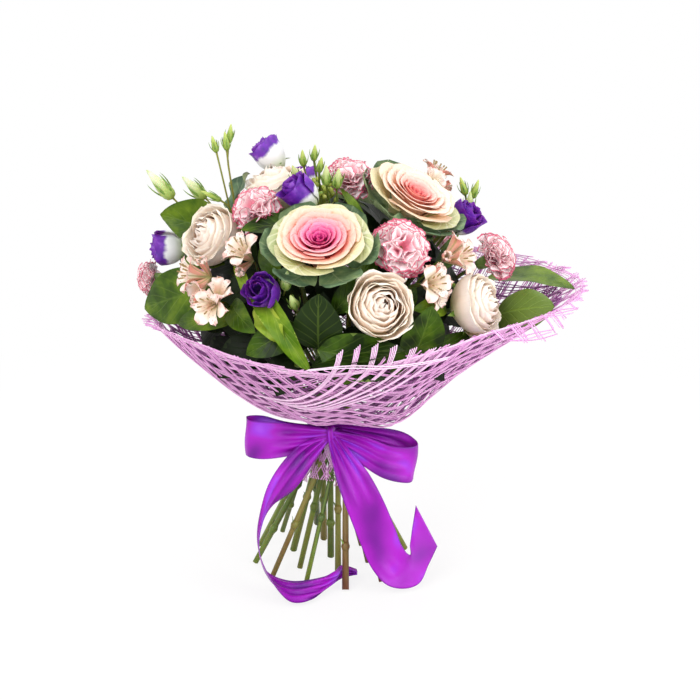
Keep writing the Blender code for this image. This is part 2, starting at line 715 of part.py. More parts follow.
# Each run of ribbon: its middle line as (x, y, z) in mm, with the way across it and its width.
RIBBON_RUNS = {
    "ribbon_loop_left": [
        ((-10.2, -34, 153), (0, 0, 1), 12), ((-34, -44, 151), (0, 0.1, 1), 30),
        ((-62, -48, 151), (0, 0.1, 1), 38), ((-80, -44, 151), (0, 0.1, 1), 39),
        ((-83, -34, 152), (0, 0, 1), 39), ((-66, -29, 153), (0, 0, 1), 34),
        ((-42, -31, 154), (0, 0, 1), 22), ((-12, -30, 156), (0, 0, 1), 9)],
    "ribbon_loop_right": [
        ((10.2, -34, 151), (0.2, 0, 1), 12), ((30, -45, 141), (0.3, 0.1, 1), 24),
        ((56, -52, 130), (0.3, 0.1, 1), 34), ((80, -46, 124), (0.1, 0.1, 1), 38),
        ((85, -35, 126), (0.1, 0, 1), 39), ((68, -29, 136), (0.2, 0, 1), 34),
        ((42, -31, 147), (0.1, 0, 1), 22), ((12, -30, 156), (0, 0, 1), 9)],
    "ribbon_tail_left": [
        ((-6, -34, 142.4), (1, 0, 0), 9), ((-25, -46, 131), (0.8, -0.1, 0.55), 26),
        ((-48, -58, 108), (0.75, -0.4, 0.5), 33), ((-65, -66, 80), (0.25, -0.9, 0.35), 36),
        ((-71, -73, 50), (0.15, -0.95, 0.2), 38), ((-62, -86, 23), (0.2, -0.95, 0.2), 38),
        ((-38, -104, 9), (0, -0.96, -0.27), 36), ((-12, -98, 12), (-0.35, -0.75, -0.5), 28),
        ((2, -77, 12), (-0.5, -0.3, -0.8), 20), ((12, -58, 11), (-0.2, -0.1, -0.95), 14),
        ((27, -54, 9), (-0.1, 0, -1), 5)],
    "ribbon_tail_right": [
        ((6, -34, 142.4), (1, 0, 0), 9), ((12, -50, 130), (0.75, -0.1, 0.3), 24),
        ((24, -57, 112), (0.9, 0, 0.35), 33), ((36, -67, 87), (0.9, 0, 0.4), 38),
        ((47, -75, 61), (0.9, 0.1, 0.4), 38), ((57, -79, 38), (0.75, 0.3, 0.55), 38),
        ((70, -79, 22), (0.35, 0.5, 0.8), 38), ((84, -70, 25), (-0.2, 0.35, 0.9), 40),
        ((91, -60, 42), (-0.4, 0.2, 0.9), 42), ((97, -52, 60), (-0.45, 0.1, 0.88), 49)],
}
RIBBON_STEPS = 24


def make_ribbon_run(name):
    stations = RIBBON_RUNS[name]
    middles = smooth_through([s[0] for s in stations], RIBBON_STEPS + 1)
    ways = smooth_through([s[1] for s in stations], RIBBON_STEPS + 1)
    widths = smooth_through([(s[2], 0, 0) for s in stations], RIBBON_STEPS + 1)

    def place(along, across):
        i = round(along * RIBBON_STEPS)
        way = ways[i] / np.linalg.norm(ways[i])
        return Vector((middles[i] + way * (across - 0.5) * widths[i][0]) * MM)

    run = bent_sheet(name, RIBBON_STEPS, 2, place, RIBBON_WALL)
    run.data.materials.append(materials["ribbon_satin"])


def make_band():
    """The ribbon round the bundle, gathered, with its knot at the front."""
    heights = [TIE_HEIGHT + BAND_HALF_HEIGHT * s for s in (1, 0.33, -0.33, -1)]
    inner = [(wrap_inside(z) + WRAP_WALL + TOUCH_GAP, z) for z in heights]
    outer = [(r + RIBBON_WALL, z) for r, z in inner]
    band = turned_ring("ribbon_band", outer + inner[::-1])
    band.data = evaluated_mesh(band)
    band.modifiers.clear()
    cage = bmesh.new()
    bmesh.ops.create_uvsphere(cage, u_segments=12, v_segments=8, radius=1)
    bmesh.ops.scale(cage, vec=KNOT_SIZE / 2, verts=cage.verts)
    front = max(r for r, z in outer) - KNOT_BITE + KNOT_SIZE.y / 2
    bmesh.ops.translate(cage, vec=Vector((0, -front, TIE_HEIGHT + KNOT_DROP)), verts=cage.verts)
    mesh = bpy.data.meshes.new("knot")
    cage.to_mesh(mesh)
    cage.free()
    whole = joined("ribbon_band", [band, into_scene("knot", mesh)])
    whole.data.materials.clear()
    whole.data.materials.append(materials["ribbon_satin"])
    whole.data.shade_smooth()


# ---------------------------------------------------------------- the bouquet

def clear_scene():
    for thing in list(bpy.data.objects):
        bpy.data.objects.remove(thing)


clear_scene()
bouquet = bpy.data.collections.new("rose_bouquet")
bpy.context.scene.collection.children.link(bouquet)
materials = {name: finish(name, *values) for name, values in FINISHES.items()}
make_heads()
for leaf_name in LEAVES:
    make_leaf(leaf_name)
make_plants()
make_tie()
make_wrap()
for run_name in RIBBON_RUNS:
    make_ribbon_run(run_name)
make_band()
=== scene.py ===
"""Looks of a hand-tied bouquet: spray roses, ornamental cabbages, carnations, lisianthus and
alstroemeria over salal leaves, in a lilac net tied with a satin bow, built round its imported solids."""

import math

import bpy
import numpy as np
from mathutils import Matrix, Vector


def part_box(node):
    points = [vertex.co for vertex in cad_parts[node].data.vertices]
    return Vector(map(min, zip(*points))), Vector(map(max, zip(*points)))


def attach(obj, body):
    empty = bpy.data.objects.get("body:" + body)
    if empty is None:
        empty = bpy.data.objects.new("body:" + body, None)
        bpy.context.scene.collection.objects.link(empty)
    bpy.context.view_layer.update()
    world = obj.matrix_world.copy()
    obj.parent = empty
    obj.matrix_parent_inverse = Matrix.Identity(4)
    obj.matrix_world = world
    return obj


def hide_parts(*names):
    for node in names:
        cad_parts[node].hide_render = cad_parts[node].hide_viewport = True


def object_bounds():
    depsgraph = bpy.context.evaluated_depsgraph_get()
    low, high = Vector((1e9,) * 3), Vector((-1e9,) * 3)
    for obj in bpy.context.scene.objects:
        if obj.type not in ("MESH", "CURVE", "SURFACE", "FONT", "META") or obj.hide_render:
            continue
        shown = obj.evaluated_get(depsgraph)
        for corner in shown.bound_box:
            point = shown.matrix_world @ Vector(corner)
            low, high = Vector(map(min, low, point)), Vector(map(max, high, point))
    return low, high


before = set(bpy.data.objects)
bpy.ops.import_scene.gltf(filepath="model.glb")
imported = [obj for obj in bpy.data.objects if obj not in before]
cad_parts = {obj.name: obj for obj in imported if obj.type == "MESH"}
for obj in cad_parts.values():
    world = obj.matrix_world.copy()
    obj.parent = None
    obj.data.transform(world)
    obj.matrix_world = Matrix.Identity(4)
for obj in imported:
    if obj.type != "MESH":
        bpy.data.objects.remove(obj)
cad_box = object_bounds()


# ------------------------------------------------------------------ the stems
# Nineteen cut flower stems, crossed in a spiral where they are tied, and standing on their feet.
# They are fresh and green above, browner and a little woody below, with a pale cut at the foot.
# Each solid is taken as it is, its faces joined up and its six sides rounded.

STEM_NODES = sorted(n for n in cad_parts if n.endswith("_stem"))
CUT_LEAN = -0.75  # a face that looks down more than this is a cut foot
CUT_REACH = 0.05  # and it is no higher than this
WOODY_REACH = 0.07  # how far up the browner foot goes


def colour(code):
    """A colour written as #RRGGBB, as the linear light that a shader takes."""
    light = [int(code[i:i + 2], 16) / 255 for i in (1, 3, 5)]
    return [c / 12.92 if c <= 0.04045 else ((c + 0.055) / 1.055) ** 2.4 for c in light] + [1]


class Flow:
    """A number or colour on its way through a tree of shader nodes. Arithmetic on it adds a node."""

    def __init__(self, steps, socket):
        self.steps, self.socket = steps, socket

    def __add__(self, other):
        return self.steps.sum("ADD", self, other)

    def __sub__(self, other):
        return self.steps.sum("SUBTRACT", self, other)

    def __rsub__(self, other):
        return self.steps.sum("SUBTRACT", other, self)

    def __mul__(self, other):
        return self.steps.sum("MULTIPLY", self, other)

    def __pow__(self, other):
        return self.steps.sum("POWER", self, other)

    def __abs__(self):
        return self.steps.sum("ABSOLUTE", self)

    def rise(self, low, high):
        """0 below low and 1 above high, with a soft step between them."""
        return self.steps.step("MapRange", ("Value", self), ("From Min", low), ("From Max", high),
                               interpolation_type="SMOOTHSTEP")

    def ramp(self, *stops):
        """Colours along this share, which runs from 0 to 1."""
        node = self.steps.tree.nodes.new("ShaderNodeValToRGB")
        self.steps.feed(node.inputs["Fac"], self)
        elements = node.color_ramp.elements
        elements.remove(elements[1])
        elements[0].position, elements[0].color = stops[0][0], colour(stops[0][1])
        for at, code in stops[1:]:
            elements.new(at).color = colour(code)
        return Flow(self.steps, node.outputs["Color"])

    def tinged(self, share, second):
        """This colour with a second one laid over it by a share."""
        return self.steps.mixed(share, self, second)


class Steps:
    """A tree of shader nodes, laid down one step at a time."""

    def __init__(self, tree):
        self.tree = tree

    def feed(self, socket, value):
        """Joins a socket to a flow, or writes a number or a colour on it."""
        if isinstance(value, Flow):
            self.tree.links.new(value.socket, socket)
        else:
            socket.default_value = colour(value) if isinstance(value, str) else value

    def step(self, kind, *feeds, out=0, **settings):
        """One shader node with its settings and its feeds, each a socket and what goes into it."""
        node = self.tree.nodes.new("ShaderNode" + kind)
        for name, value in settings.items():
            setattr(node, name, value)
        for socket, value in feeds:
            self.feed(node.inputs[socket], value)
        return Flow(self, node.outputs[out])

    def sum(self, operation, *values):
        """One step of arithmetic."""
        return self.step("Math", *enumerate(values), operation=operation)

    def mark(self, name):
        """A number that the mesh keeps under this name."""
        return self.step("Attribute", out="Fac", attribute_name=name)

    def place(self, *stretch):
        """Object coordinates in metres, times a number along each axis."""
        here = self.step("TexCoord", out="Object")
        return self.step("Mapping", ("Vector", here), ("Scale", stretch or (1, 1, 1)))

    def noise(self, scale, detail=3.0, way=None):
        """Cloudy variation between 0 and 1, over the piece or along a way of its own."""
        way = way or self.place()
        return self.step("TexNoise", ("Vector", way), ("Scale", scale), ("Detail", detail))

    def mixed(self, share, first, second):
        """The second colour laid over the first by a share."""
        return self.step("Mix", (0, share), (6, first), (7, second), out=2, data_type="RGBA")

    def through(self, effect, *marks, **values):
        """A shared effect, given marks that the mesh keeps and numbers of this material's own."""
        feeds = [(mark.title(), self.mark(mark)) for mark in marks] + list(values.items())
        return self.step("Group", *feeds, node_tree=effect.tree)


class Finish(Steps):
    """A material: numbers and colours on its shader's own sockets, and steps that lead to the others."""

    def __init__(self, name, **sockets):
        self.material = bpy.data.materials.new(name)
        self.material.use_nodes = True
        super().__init__(self.material.node_tree)
        self.shader = self.tree.nodes["Principled BSDF"]
        for socket, value in sockets.items():
            self.feed(self.shader.inputs[socket.replace("_", " ")], value)

    def paint(self, base):
        """Gives the surface its colour."""
        self.feed(self.shader.inputs["Base Color"], base)

    def relief(self, height, depth, strength=1.0):
        """Raises the surface by a height from 0 to 1, times a depth in metres."""
        bump = self.step("Bump", ("Strength", strength), ("Distance", depth), ("Height", height))
        self.feed(self.shader.inputs["Normal"], bump)


def joined_up(node):
    """A CAD node's places and triangles, with the loose corners that share a place made one."""
    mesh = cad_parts[node].data
    mesh.calc_loop_triangles()
    corners = np.empty(3 * len(mesh.loop_triangles), np.int32)
    mesh.loop_triangles.foreach_get("vertices", corners)
    places = np.empty(3 * len(mesh.vertices))
    mesh.vertices.foreach_get("co", places)
    places, which = np.unique(np.round(places.reshape(-1, 3), 6), axis=0, return_inverse=True)
    return places, which.ravel()[corners].reshape(-1, 3)


def new_piece(name, places, faces, finish, **marks):
    """A smooth mesh object from arrays of places and faces, with its marks kept on its points."""
    mesh = bpy.data.meshes.new(name)
    mesh.from_pydata(places, [], faces)
    mesh.shade_smooth()
    for mark, values in marks.items():
        spread = np.broadcast_to(values, len(places)).astype(np.float32)
        mesh.attributes.new(mark, "FLOAT", "POINT").data.foreach_set("value", spread)
    mesh.materials.append(finish.material)
    piece = bpy.data.objects.new(name, mesh)
    bpy.context.scene.collection.objects.link(piece)
    return piece


def mark_faces(piece, name, which):
    """Keeps 1 on the faces that are meant and 0 on the others."""
    piece.data.attributes.new(name, "FLOAT", "FACE").data.foreach_set("value", which.astype(np.float32))


def mark_edges(piece, name, kind, ends):
    """Marks each edge whose two ends are both among the points that are meant."""
    edges = np.empty(2 * len(piece.data.edges), np.int32)
    piece.data.edges.foreach_get("vertices", edges)
    meant = ends[edges.reshape(-1, 2)].all(1).astype(np.float32 if kind == "FLOAT" else bool)
    piece.data.attributes.new(name, kind, "EDGE").data.foreach_set("value", meant)


def fixed(piece, slot, *nodes):
    """Fixes a piece to the bouquet and hides the solids that it stands for. Its slot is not used."""
    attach(piece, "root")
    if nodes:
        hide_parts(*nodes)
    return piece


def unit(ways):
    """Arrows made one long."""
    return ways / (np.linalg.norm(ways, axis=-1, keepdims=True) + 1e-12)


def stem_age(order, up):
    """How brown a stem is at a height: its own share, and more in some of them towards the foot."""
    woody = np.clip(1 - up / WOODY_REACH, 0, 1)
    return 0.12 + 0.42 * (order * 3 % 7) / 6 + woody * 0.45 * (order * 5 % 4) / 3


stem_skin = skin = Finish("stem_skin", Roughness=0.42, Subsurface_Weight=0.05)
age = skin.noise(1.0, 4.0, skin.place(60, 60, 14)) * 0.3 + skin.mark("age")
rind = age.ramp((0.1, "#192E10"), (0.35, "#3C5817"), (0.6, "#688027"), (0.8, "#827833"), (1.0, "#613319"))
specks = skin.noise(520.0, 2.0, skin.place(1, 1, 0.4)).rise(0.6, 0.72)
skin.paint(rind.tinged(specks * 0.35, "#5A4526").tinged(skin.mark("cut").rise(0.35, 0.8), "#C9C08A"))
skin.relief(skin.noise(1.0, 2.0, skin.place(900, 900, 30)), 0.0004, 0.6)

for order, node in enumerate(STEM_NODES):
    places, faces = joined_up(node)
    a, b, c = (places[faces[:, i]] for i in range(3))
    foot = (unit(np.cross(b - a, c - a))[:, 2] < CUT_LEAN) & (a[:, 2] < CUT_REACH)
    at_foot = np.zeros(len(places), bool)
    at_foot[faces[foot].ravel()] = True
    stem = new_piece(f"{node}_skin", places, faces, stem_skin, age=stem_age(order, places[:, 2]))
    mark_faces(stem, "cut", foot)
    mark_edges(stem, "crease_edge", "FLOAT", at_foot)  # the cut keeps its sharp rim
    rounding = stem.modifiers.new("rounding", "SUBSURF")
    rounding.levels = rounding.render_levels = 1
    fixed(stem, "stem", node)


# ------------------------------------------------------------------ the buds
# Unopened lisianthus buds at the ends of thin shoots: a cone of furled petals, green turning white,
# held by five narrow sepals. The shoots and their plain buds are part of two stem solids, and these
# fit over them. A bud's point is found as a place where eight triangles meet on a slender cone.

BUD_NODES = ["lisianthus_left_stem", "lisianthus_right_stem"]
TRIANGLES_AT_A_POINT = 8
POINT_SHARE, POINT_WIDTH = 0.2, 0.45  # the solid's first ring, in bud lengths and bud radii
SLENDER = 1.5
BUD_TWISTS = 3
BUD_HOLLOW = 0.05
BUD_PROUD = 1.12
BIG_BUD = 0.0045  # a bud of more than this radius shows white petals
# A bud from its foot to its point: the share of its length, and of its radius.
BUD_OUTLINE = np.array([(0.0, 0.25), (0.04, 0.7), (0.14, 0.98), (0.3, 1.05), (0.46, 0.92), (0.62, 0.7),
                        (0.76, 0.5), (0.88, 0.33), (0.96, 0.17), (1.0, 0.04)])
BUD_SIDES = 14
SEPALS = 5
SEPAL_WALL = 0.0003


def spaced(count, low=0.0, high=1.0):
    """Evenly spaced numbers from low to high."""
    return np.linspace(low, high, count)


def evenly_round(count):
    """As many angles, evenly round a circle."""
    return spaced(count + 1)[:-1] * 2 * np.pi


def bud_points(node):
    """Tips, ways and sizes of the buds on a stem's solid, from the first ring under each point."""
    places, faces = joined_up(node)
    found = []
    for tip in np.flatnonzero(np.bincount(faces.ravel()) == TRIANGLES_AT_A_POINT):
        ring = np.setdiff1d(faces[(faces == tip).any(1)], [tip])
        middle = places[ring].mean(0)
        fall = np.linalg.norm(places[tip] - middle)
        radius = np.linalg.norm(places[ring] - middle, axis=1).mean()
        if fall > SLENDER * radius:
            found.append((places[tip], unit(places[tip] - middle), fall / POINT_SHARE, radius / POINT_WIDTH))
    return found


def beside(ways):
    """Two arrows square to each given one, so that the three are right-handed."""
    across = unit(np.cross(ways, np.array([0.13, 0.21, 0.97])))
    return across, np.cross(ways, across)


def rings_round(runs, radii, sides):
    """Rings of points round each run's middle line, square to it, at a radius from it."""
    across, through = (arrows[:, :, None] for arrows in beside(unit(np.gradient(runs, axis=1))))
    turn = evenly_round(sides)[:, None]
    return runs[:, :, None] + radii * (np.cos(turn) * across + np.sin(turn) * through)


def tubes(name, rings, finish, **marks):
    """Closed tubes: each is a run of rings of points, joined by four-sided faces, with a flat face over
    each end. Marks are numbers for each ring's points."""
    count, rows, sides = rings.shape[:3]
    grid = np.arange(rows * sides).reshape(rows, sides)
    turned = np.roll(grid, -1, axis=1)
    skin = np.stack([grid[:-1], turned[:-1], turned[1:], grid[1:]], -1).reshape(-1, 4)
    ends = np.stack([grid[0][::-1], grid[-1]])
    steps = np.arange(count)[:, None, None] * rows * sides
    faces = (skin + steps).reshape(-1, 4).tolist() + (ends + steps).reshape(-1, sides).tolist()
    spread = {mark: np.broadcast_to(values, rings.shape[:3]).ravel() for mark, values in marks.items()}
    return new_piece(name, rings.reshape(-1, 3), faces, finish, **spread)


def shells(name, fronts, thickness, finish, **marks):
    """Thin closed shells, such as petals. Each front is a grid of places, and its back is the front
    moved against its normal by the thickness, except at the border, where the two share their points."""
    count, n, m = fronts.shape[:3]
    normal = unit(np.cross(np.gradient(fronts, axis=1), np.gradient(fronts, axis=2)))
    backs = fronts - normal * thickness
    front = np.arange(n * m).reshape(n, m)
    back = front.copy()
    back[1:-1, 1:-1] = n * m + np.arange((n - 2) * (m - 2)).reshape(n - 2, m - 2)
    squares = [np.stack([g[:-1, :-1], g[1:, :-1], g[1:, 1:], g[:-1, 1:]], -1).reshape(-1, 4)
               for g in (front, back)]
    one = np.concatenate([squares[0], squares[1][:, ::-1]])

    def both(face, other):
        """Numbers for the front's points, and then for the back's own points inside the border."""
        inside = other[:, 1:-1, 1:-1]
        return np.concatenate([face.reshape(count, n * m, -1),
                               inside.reshape(count, (n - 2) * (m - 2), -1)], axis=1)

    places = both(fronts, backs)
    faces = (one + np.arange(count)[:, None, None] * places.shape[1]).reshape(-1, 4)
    spread = {mark: np.broadcast_to(values, (count, n, m)) for mark, values in marks.items()}
    spread = {mark: both(values, values).ravel() for mark, values in spread.items()}
    piece = new_piece(name, places.reshape(-1, 3), faces, finish, **spread)
    mark_faces(piece, "underside", np.tile(np.arange(len(one)) >= len(squares[0]), count))
    rim = np.ones((count, n, m), bool)
    rim[:, 1:-1, 1:-1] = False
    mark_edges(piece, "sharp_edge", "BOOLEAN", both(rim, rim).ravel())
    return piece


def blades(base, tip, face, width, arch, fold=0.25, wave=0.0, shape=(0.6, 0.8), grid=(9, 13), turn=0.0):
    """Leaf blades, one for each base. The midrib runs from base to tip and rises by the arch half way.
    The half width follows v to the first power of the shape times (1 - v) to the second, made 1 at its
    widest. Across it, the blade lifts by the fold, and its edges wave."""
    base, tip, face = (np.atleast_2d(x)[:, None, None] for x in (base, tip, face))
    width, arch, turn = (np.reshape(x, (-1, 1, 1, 1)) for x in (width, arch, turn))
    u = spaced(grid[0], -1, 1)[None, :, None, None]
    v = spaced(grid[1])[None, None, :, None]
    run = tip - base
    side = unit(np.cross(run, face))
    up = np.cross(side, run / np.linalg.norm(run, axis=-1, keepdims=True))
    a, b = shape
    widest = a / (a + b)
    profile = np.maximum(v**a * (1 - v)**b / (widest**a * (1 - widest)**b), 0.02)
    half = width / 2 * profile
    lift = fold * np.abs(u)**1.3 * half + wave * width * u**2 * np.sin(13 * v + 3 * u + turn)
    return base + run * v + up * (arch * 4 * v * (1 - v) + lift) + side * u * half


bud_skin = skin = Finish("bud_skin", Roughness=0.5, Subsurface_Weight=0.1)
along = skin.mark("along")
white_bud = along.ramp((0.0, "#6F8F33"), (0.3, "#9DB35A"), (0.62, "#D9E0B4"), (0.85, "#EDEFD8"),
                       (1.0, "#B9C47E"))
furls = skin.noise(1.0, 3.0, skin.place(260, 260, 60))
green_bud = along.ramp((0.0, "#5F8229"), (0.5, "#93AC4A"), (1.0, "#B7C468"))
skin.paint(green_bud.tinged(skin.mark("pale"), white_bud.tinged(furls * 0.5, "#A9BF62")))
skin.relief(furls, 0.0005)

sepal_skin = skin = Finish("sepal_skin", Roughness=0.5, Subsurface_Weight=0.05)
skin.paint(skin.noise(160.0).ramp((0.3, "#4E7224"), (0.55, "#6F9434"), (0.75, "#93AE52")))

buds = [bud for node in BUD_NODES for bud in bud_points(node)]
tips, ways, lengths, radii = (np.array(x) for x in zip(*buds))
up_bud, wide = BUD_OUTLINE[:, :1], BUD_OUTLINE[:, 1:]
hollows = 1 + BUD_HOLLOW * np.cos(BUD_TWISTS * evenly_round(BUD_SIDES) + 5 * up_bud)
reach = radii[:, None, None] * wide * hollows * BUD_PROUD
centre = tips[:, None] + ways[:, None] * lengths[:, None, None] * (up_bud - 1)
pale_bud = np.clip((radii - BIG_BUD * 0.8) / (BIG_BUD * 0.3), 0, 1)[:, None, None]
fixed(tubes("lisianthus_buds", rings_round(centre, reach[..., None], BUD_SIDES), bud_skin,
            along=up_bud, pale=pale_bud), "lisianthus_petal")

turn = evenly_round(SEPALS)[:, None]
across, through = (arrows[:, None] for arrows in beside(ways))
outward = np.cos(turn) * across + np.sin(turn) * through
length, radius = lengths[:, None, None], radii[:, None, None]
foot = (tips - ways * lengths[:, None])[:, None] + outward * radius * 0.3
lean = 1.25 + 0.35 * np.sin(np.arange(SEPALS) * 2.4)[:, None]
sepal_tip = foot + ways[:, None] * length * 0.72 + outward * radius * lean * 0.9
bud_sepals = blades(foot.reshape(-1, 3), sepal_tip.reshape(-1, 3), -outward.reshape(-1, 3),
                    np.repeat(radii * 0.62, SEPALS), -np.repeat(radii * 0.55, SEPALS),
                    fold=0.5, grid=(5, 9), shape=(0.35, 0.9))
fixed(shells("lisianthus_sepals", bud_sepals, SEPAL_WALL, sepal_skin), "lisianthus_petal")


# ------------------------------------------------------------------ the joints
# Every stem is a little swollen where a leaf grew, a carnation's the most. Each joint is a barrel
# round the stem's straight foot, between its cut and its ring at the tie, with a stub of the leaf.

JOINT_HALF = 0.0045
JOINT_PALER = 0.08
JOINT_SHARES = [0.34, 0.66]  # of the way from the foot to the tie
JOINT_SUNK = 0.92  # its ends are this share of the stem's radius
JOINT_SWELL = np.array([(-1.0, 0.0), (-0.5, 0.16), (-0.15, 0.32), (0.15, 0.32), (0.45, 0.176), (1.0, 0.0)])
CARNATION_SWELL = 1.3
RING_UP = 0.154  # the height of the stems' ring at the tie
JOINT_SIDES = 14
STUB_OUT, STUB_UP, STUB_WIDTH, STUB_ARCH = 0.0035, 0.008, 0.0028, 0.0004


def joint_places(node, order):
    """Middles of a stem's joints, with its way up and its radius, from its solid's lowest two rings."""
    places, _ = joined_up(node)
    foot = places[places[:, 2] < CUT_REACH]
    tie = places[np.abs(places[:, 2] - RING_UP) < CUT_REACH / 10].mean(0)
    way = unit(tie - foot.mean(0))
    off = foot - foot.mean(0)
    radius = np.linalg.norm(off - (off @ way)[:, None] * way, axis=1).mean()
    shares = np.array(JOINT_SHARES) + 0.1 * np.sin(order * 2.1 + np.arange(2))
    return [(foot.mean(0) + (tie - foot.mean(0)) * share, way, radius) for share in shares]


joints = [joint for order, node in enumerate(STEM_NODES) for joint in joint_places(node, order)]
middles, ways, radii = (np.array(x) for x in zip(*joints))
swell = np.repeat([CARNATION_SWELL if "carnation" in node else 1.0 for node in STEM_NODES], len(JOINT_SHARES))
runs = middles[:, None] + ways[:, None] * JOINT_SWELL[:, :1] * JOINT_HALF
reach = radii[:, None] * (JOINT_SUNK + JOINT_SWELL[:, 1] * swell[:, None])
joint_age = stem_age(np.repeat(np.arange(len(STEM_NODES)), len(JOINT_SHARES)), middles[:, 2]) + JOINT_PALER
fixed(tubes("stem_joints", rings_round(runs, reach[..., None, None], JOINT_SIDES), stem_skin,
            age=joint_age[:, None, None]), "stem")

turn = np.arange(len(joints))[:, None] * 2.4
across, through = beside(ways)
side = unit(across * np.cos(turn) + through * np.sin(turn))
base = middles + side * radii[:, None] * 0.8
stubs = blades(base, base + side * STUB_OUT + ways * STUB_UP, -side, STUB_WIDTH, STUB_ARCH,
               fold=0.3, grid=(5, 7), shape=(0.25, 0.7))
fixed(shells("leaf_stubs", stubs, SEPAL_WALL, sepal_skin), "stem")


# ------------------------------------------------------------------ the leaves
# Broad glossy salal leaves round the flowers and standing out under them, each cut on its own twig,
# with smaller leaves of the flowers' own stems deep between the heads. The eight large ones stand for
# their solids: base, tip, face, width and arch are measured from each solid's main directions.

LEAF_NODES = sorted(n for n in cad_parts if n.startswith("leaf_"))
TIE = np.array(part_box("binding_twine")[0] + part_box("binding_twine")[1]) / 2
HEART = TIE + np.array([0, 0, 0.086])  # the flowers stand round this point, over the tie
LEAF_WALL = 0.0006
# How light each large leaf is painted, as painted light and shade: those low in the middle, in shade, are
# painted darker than those at the sides.
LEAF_LIGHT_AND_SHADE = {"leaf_back": 0.3, "leaf_centre": -1.0, "leaf_far_right": 1.0, "leaf_front": -0.35,
              "leaf_front_right": 0.1, "leaf_left_lower": 0.55, "leaf_left_upper": 0.75, "leaf_right": 0.6}
# The smaller leaves stand round the heart and face outwards: each one's base and tip as azimuth and
# tilt in degrees and distance in metres, then its width.
SMALL_SALAL = [((-24, 23, 0.140), (-57, 36, 0.158), 0.027), ((32, 62, 0.142), (37, 56, 0.162), 0.016),
               ((57, 66, 0.145), (34, 63, 0.156), 0.020), ((44, 78, 0.140), (74, 84, 0.156), 0.022),
               ((-40, 66, 0.142), (-70, 77, 0.160), 0.024), ((-4, 74, 0.150), (30, 81, 0.162), 0.044),
               ((-48, 62, 0.140), (-27, 70, 0.158), 0.026), ((12, 57, 0.140), (27, 34, 0.158), 0.024),
               ((2, 60, 0.140), (21, 48, 0.158), 0.024), ((-29, 48, 0.138), (-39, 36, 0.158), 0.022),
               ((-22, 28, 0.152), (-50, 39, 0.172), 0.028), ((28, 24, 0.140), (-2, 19, 0.160), 0.022),
               ((31, 30, 0.140), (34, 6, 0.162), 0.012), ((66, 52, 0.140), (98, 52, 0.162), 0.020),
               ((70, 70, 0.142), (58, 84, 0.160), 0.030), ((-12, 66, 0.140), (-30, 78, 0.156), 0.032),
               ((14, 70, 0.140), (5, 86, 0.156), 0.030), ((-70, 50, 0.140), (-104, 62, 0.172), 0.034)]
FRESH_LEAVES = [((-38, 50, 0.150), (-6, 80, 0.168), 0.023), ((-35, 58, 0.148), (-46, 46, 0.166), 0.011),
                ((-30, 60, 0.144), (-15, 72, 0.162), 0.024)]
CRINKLED_LEAVES = [((-98, 38, 0.148), (-116, 29, 0.184), 0.040), ((80, 40, 0.150), (35, 37, 0.160), 0.036)]
SHADE_LEAVES = 172
SHADE_SPAN = 1.28  # how far round the heart they go: 1 is half a ball, 2 is a whole one
SHADE_BASE, SHADE_TIP = 0.116, 0.142  # distances from the heart
SHADE_LOWEST = 99  # no tip tilts further down than this
DRAWN_IN, DRAWN_FROM = 0.016, 76  # below this tilt they are nearer by this share for each degree
NEXT_LEAF = 137.508  # the golden angle in degrees


class Effect(Steps):
    """A node group with named numbers going in and one named number coming out."""

    def __init__(self, name, output, **inputs):
        super().__init__(bpy.data.node_groups.new(name, "ShaderNodeTree"))
        for title, value in inputs.items():
            socket = self.tree.interface.new_socket(title, in_out="INPUT", socket_type="NodeSocketFloat")
            socket.default_value = value
        self.tree.interface.new_socket(output, in_out="OUTPUT", socket_type="NodeSocketFloat")
        ends = self.tree.nodes.new("NodeGroupInput").outputs
        self.taken = [Flow(self, ends[title]) for title in inputs]

    def gives(self, flow):
        """Joins up the number that comes out."""
        self.feed(self.tree.nodes.new("NodeGroupOutput").inputs[0], flow)


# Side veins leave the midrib at a slant: the distance to the nearest one is a saw of along * count
# less |across| * slant, and they fade towards the edge. The midrib is where across is near 0.
leaf_veins = Effect("leaf_veins", "Vein", Across=0.0, Along=0.0, Count=6.0, Slant=2.2, Width=0.12)
across, along, count, slant, width = leaf_veins.taken
off_middle = abs(across)
saw = leaf_veins.sum("FRACT", along * count - off_middle**0.8 * slant)
side_vein = (1 - abs(saw - 0.5).rise(0.0, width)) * (1 - off_middle * 0.75)
leaf_veins.gives(leaf_veins.sum("MAXIMUM", side_vein, 1 - off_middle.rise(0.015, 0.07)))


def leaf_finish(name, dark, middle, light, back, vein, gloss):
    """A leaf's skin: cloudy green over the face, paler veins, a duller and lighter back."""
    skin = Finish(name, Roughness=gloss, Specular_IOR_Level=0.15)
    # The tint lightens or darkens a whole leaf: its own tone on the small leaves, painted light and shade on
    # the large ones.
    cloud = skin.noise(55.0) + skin.mark("tint") * 0.34
    veins = skin.through(leaf_veins, "across", "along")
    face = (cloud - 0.17).ramp((0.25, dark), (0.5, middle), (0.8, light)).tinged(veins * 0.2, vein)
    skin.paint(face.tinged(skin.mark("underside"), skin.mixed(veins * 0.5, back, vein)))
    skin.relief(skin.noise(420.0, 2.0) * 0.35 - veins, 0.0004, 0.6)
    return skin


salal = leaf_finish("salal_leaf", "#172904", "#3A560B", "#69811C", "#607631", "#779137", 0.36)
# Painted shade: the leaves deep between the heads are painted nearly black, for the shade that they lie in.
shade_leaf = leaf_finish("shade_leaf", "#070C02", "#0E1A05", "#1A2A09", "#1E2A11", "#223411", 0.5)
fresh_leaf = leaf_finish("fresh_leaf", "#4A6C0F", "#759124", "#A5B441", "#8A9E3B", "#B7C25A", 0.42)
collar_skin = leaf_finish("cabbage_collar", "#3E5440", "#6A8460", "#A4B47E", "#8A9A70", "#D2DAB0", 0.5)


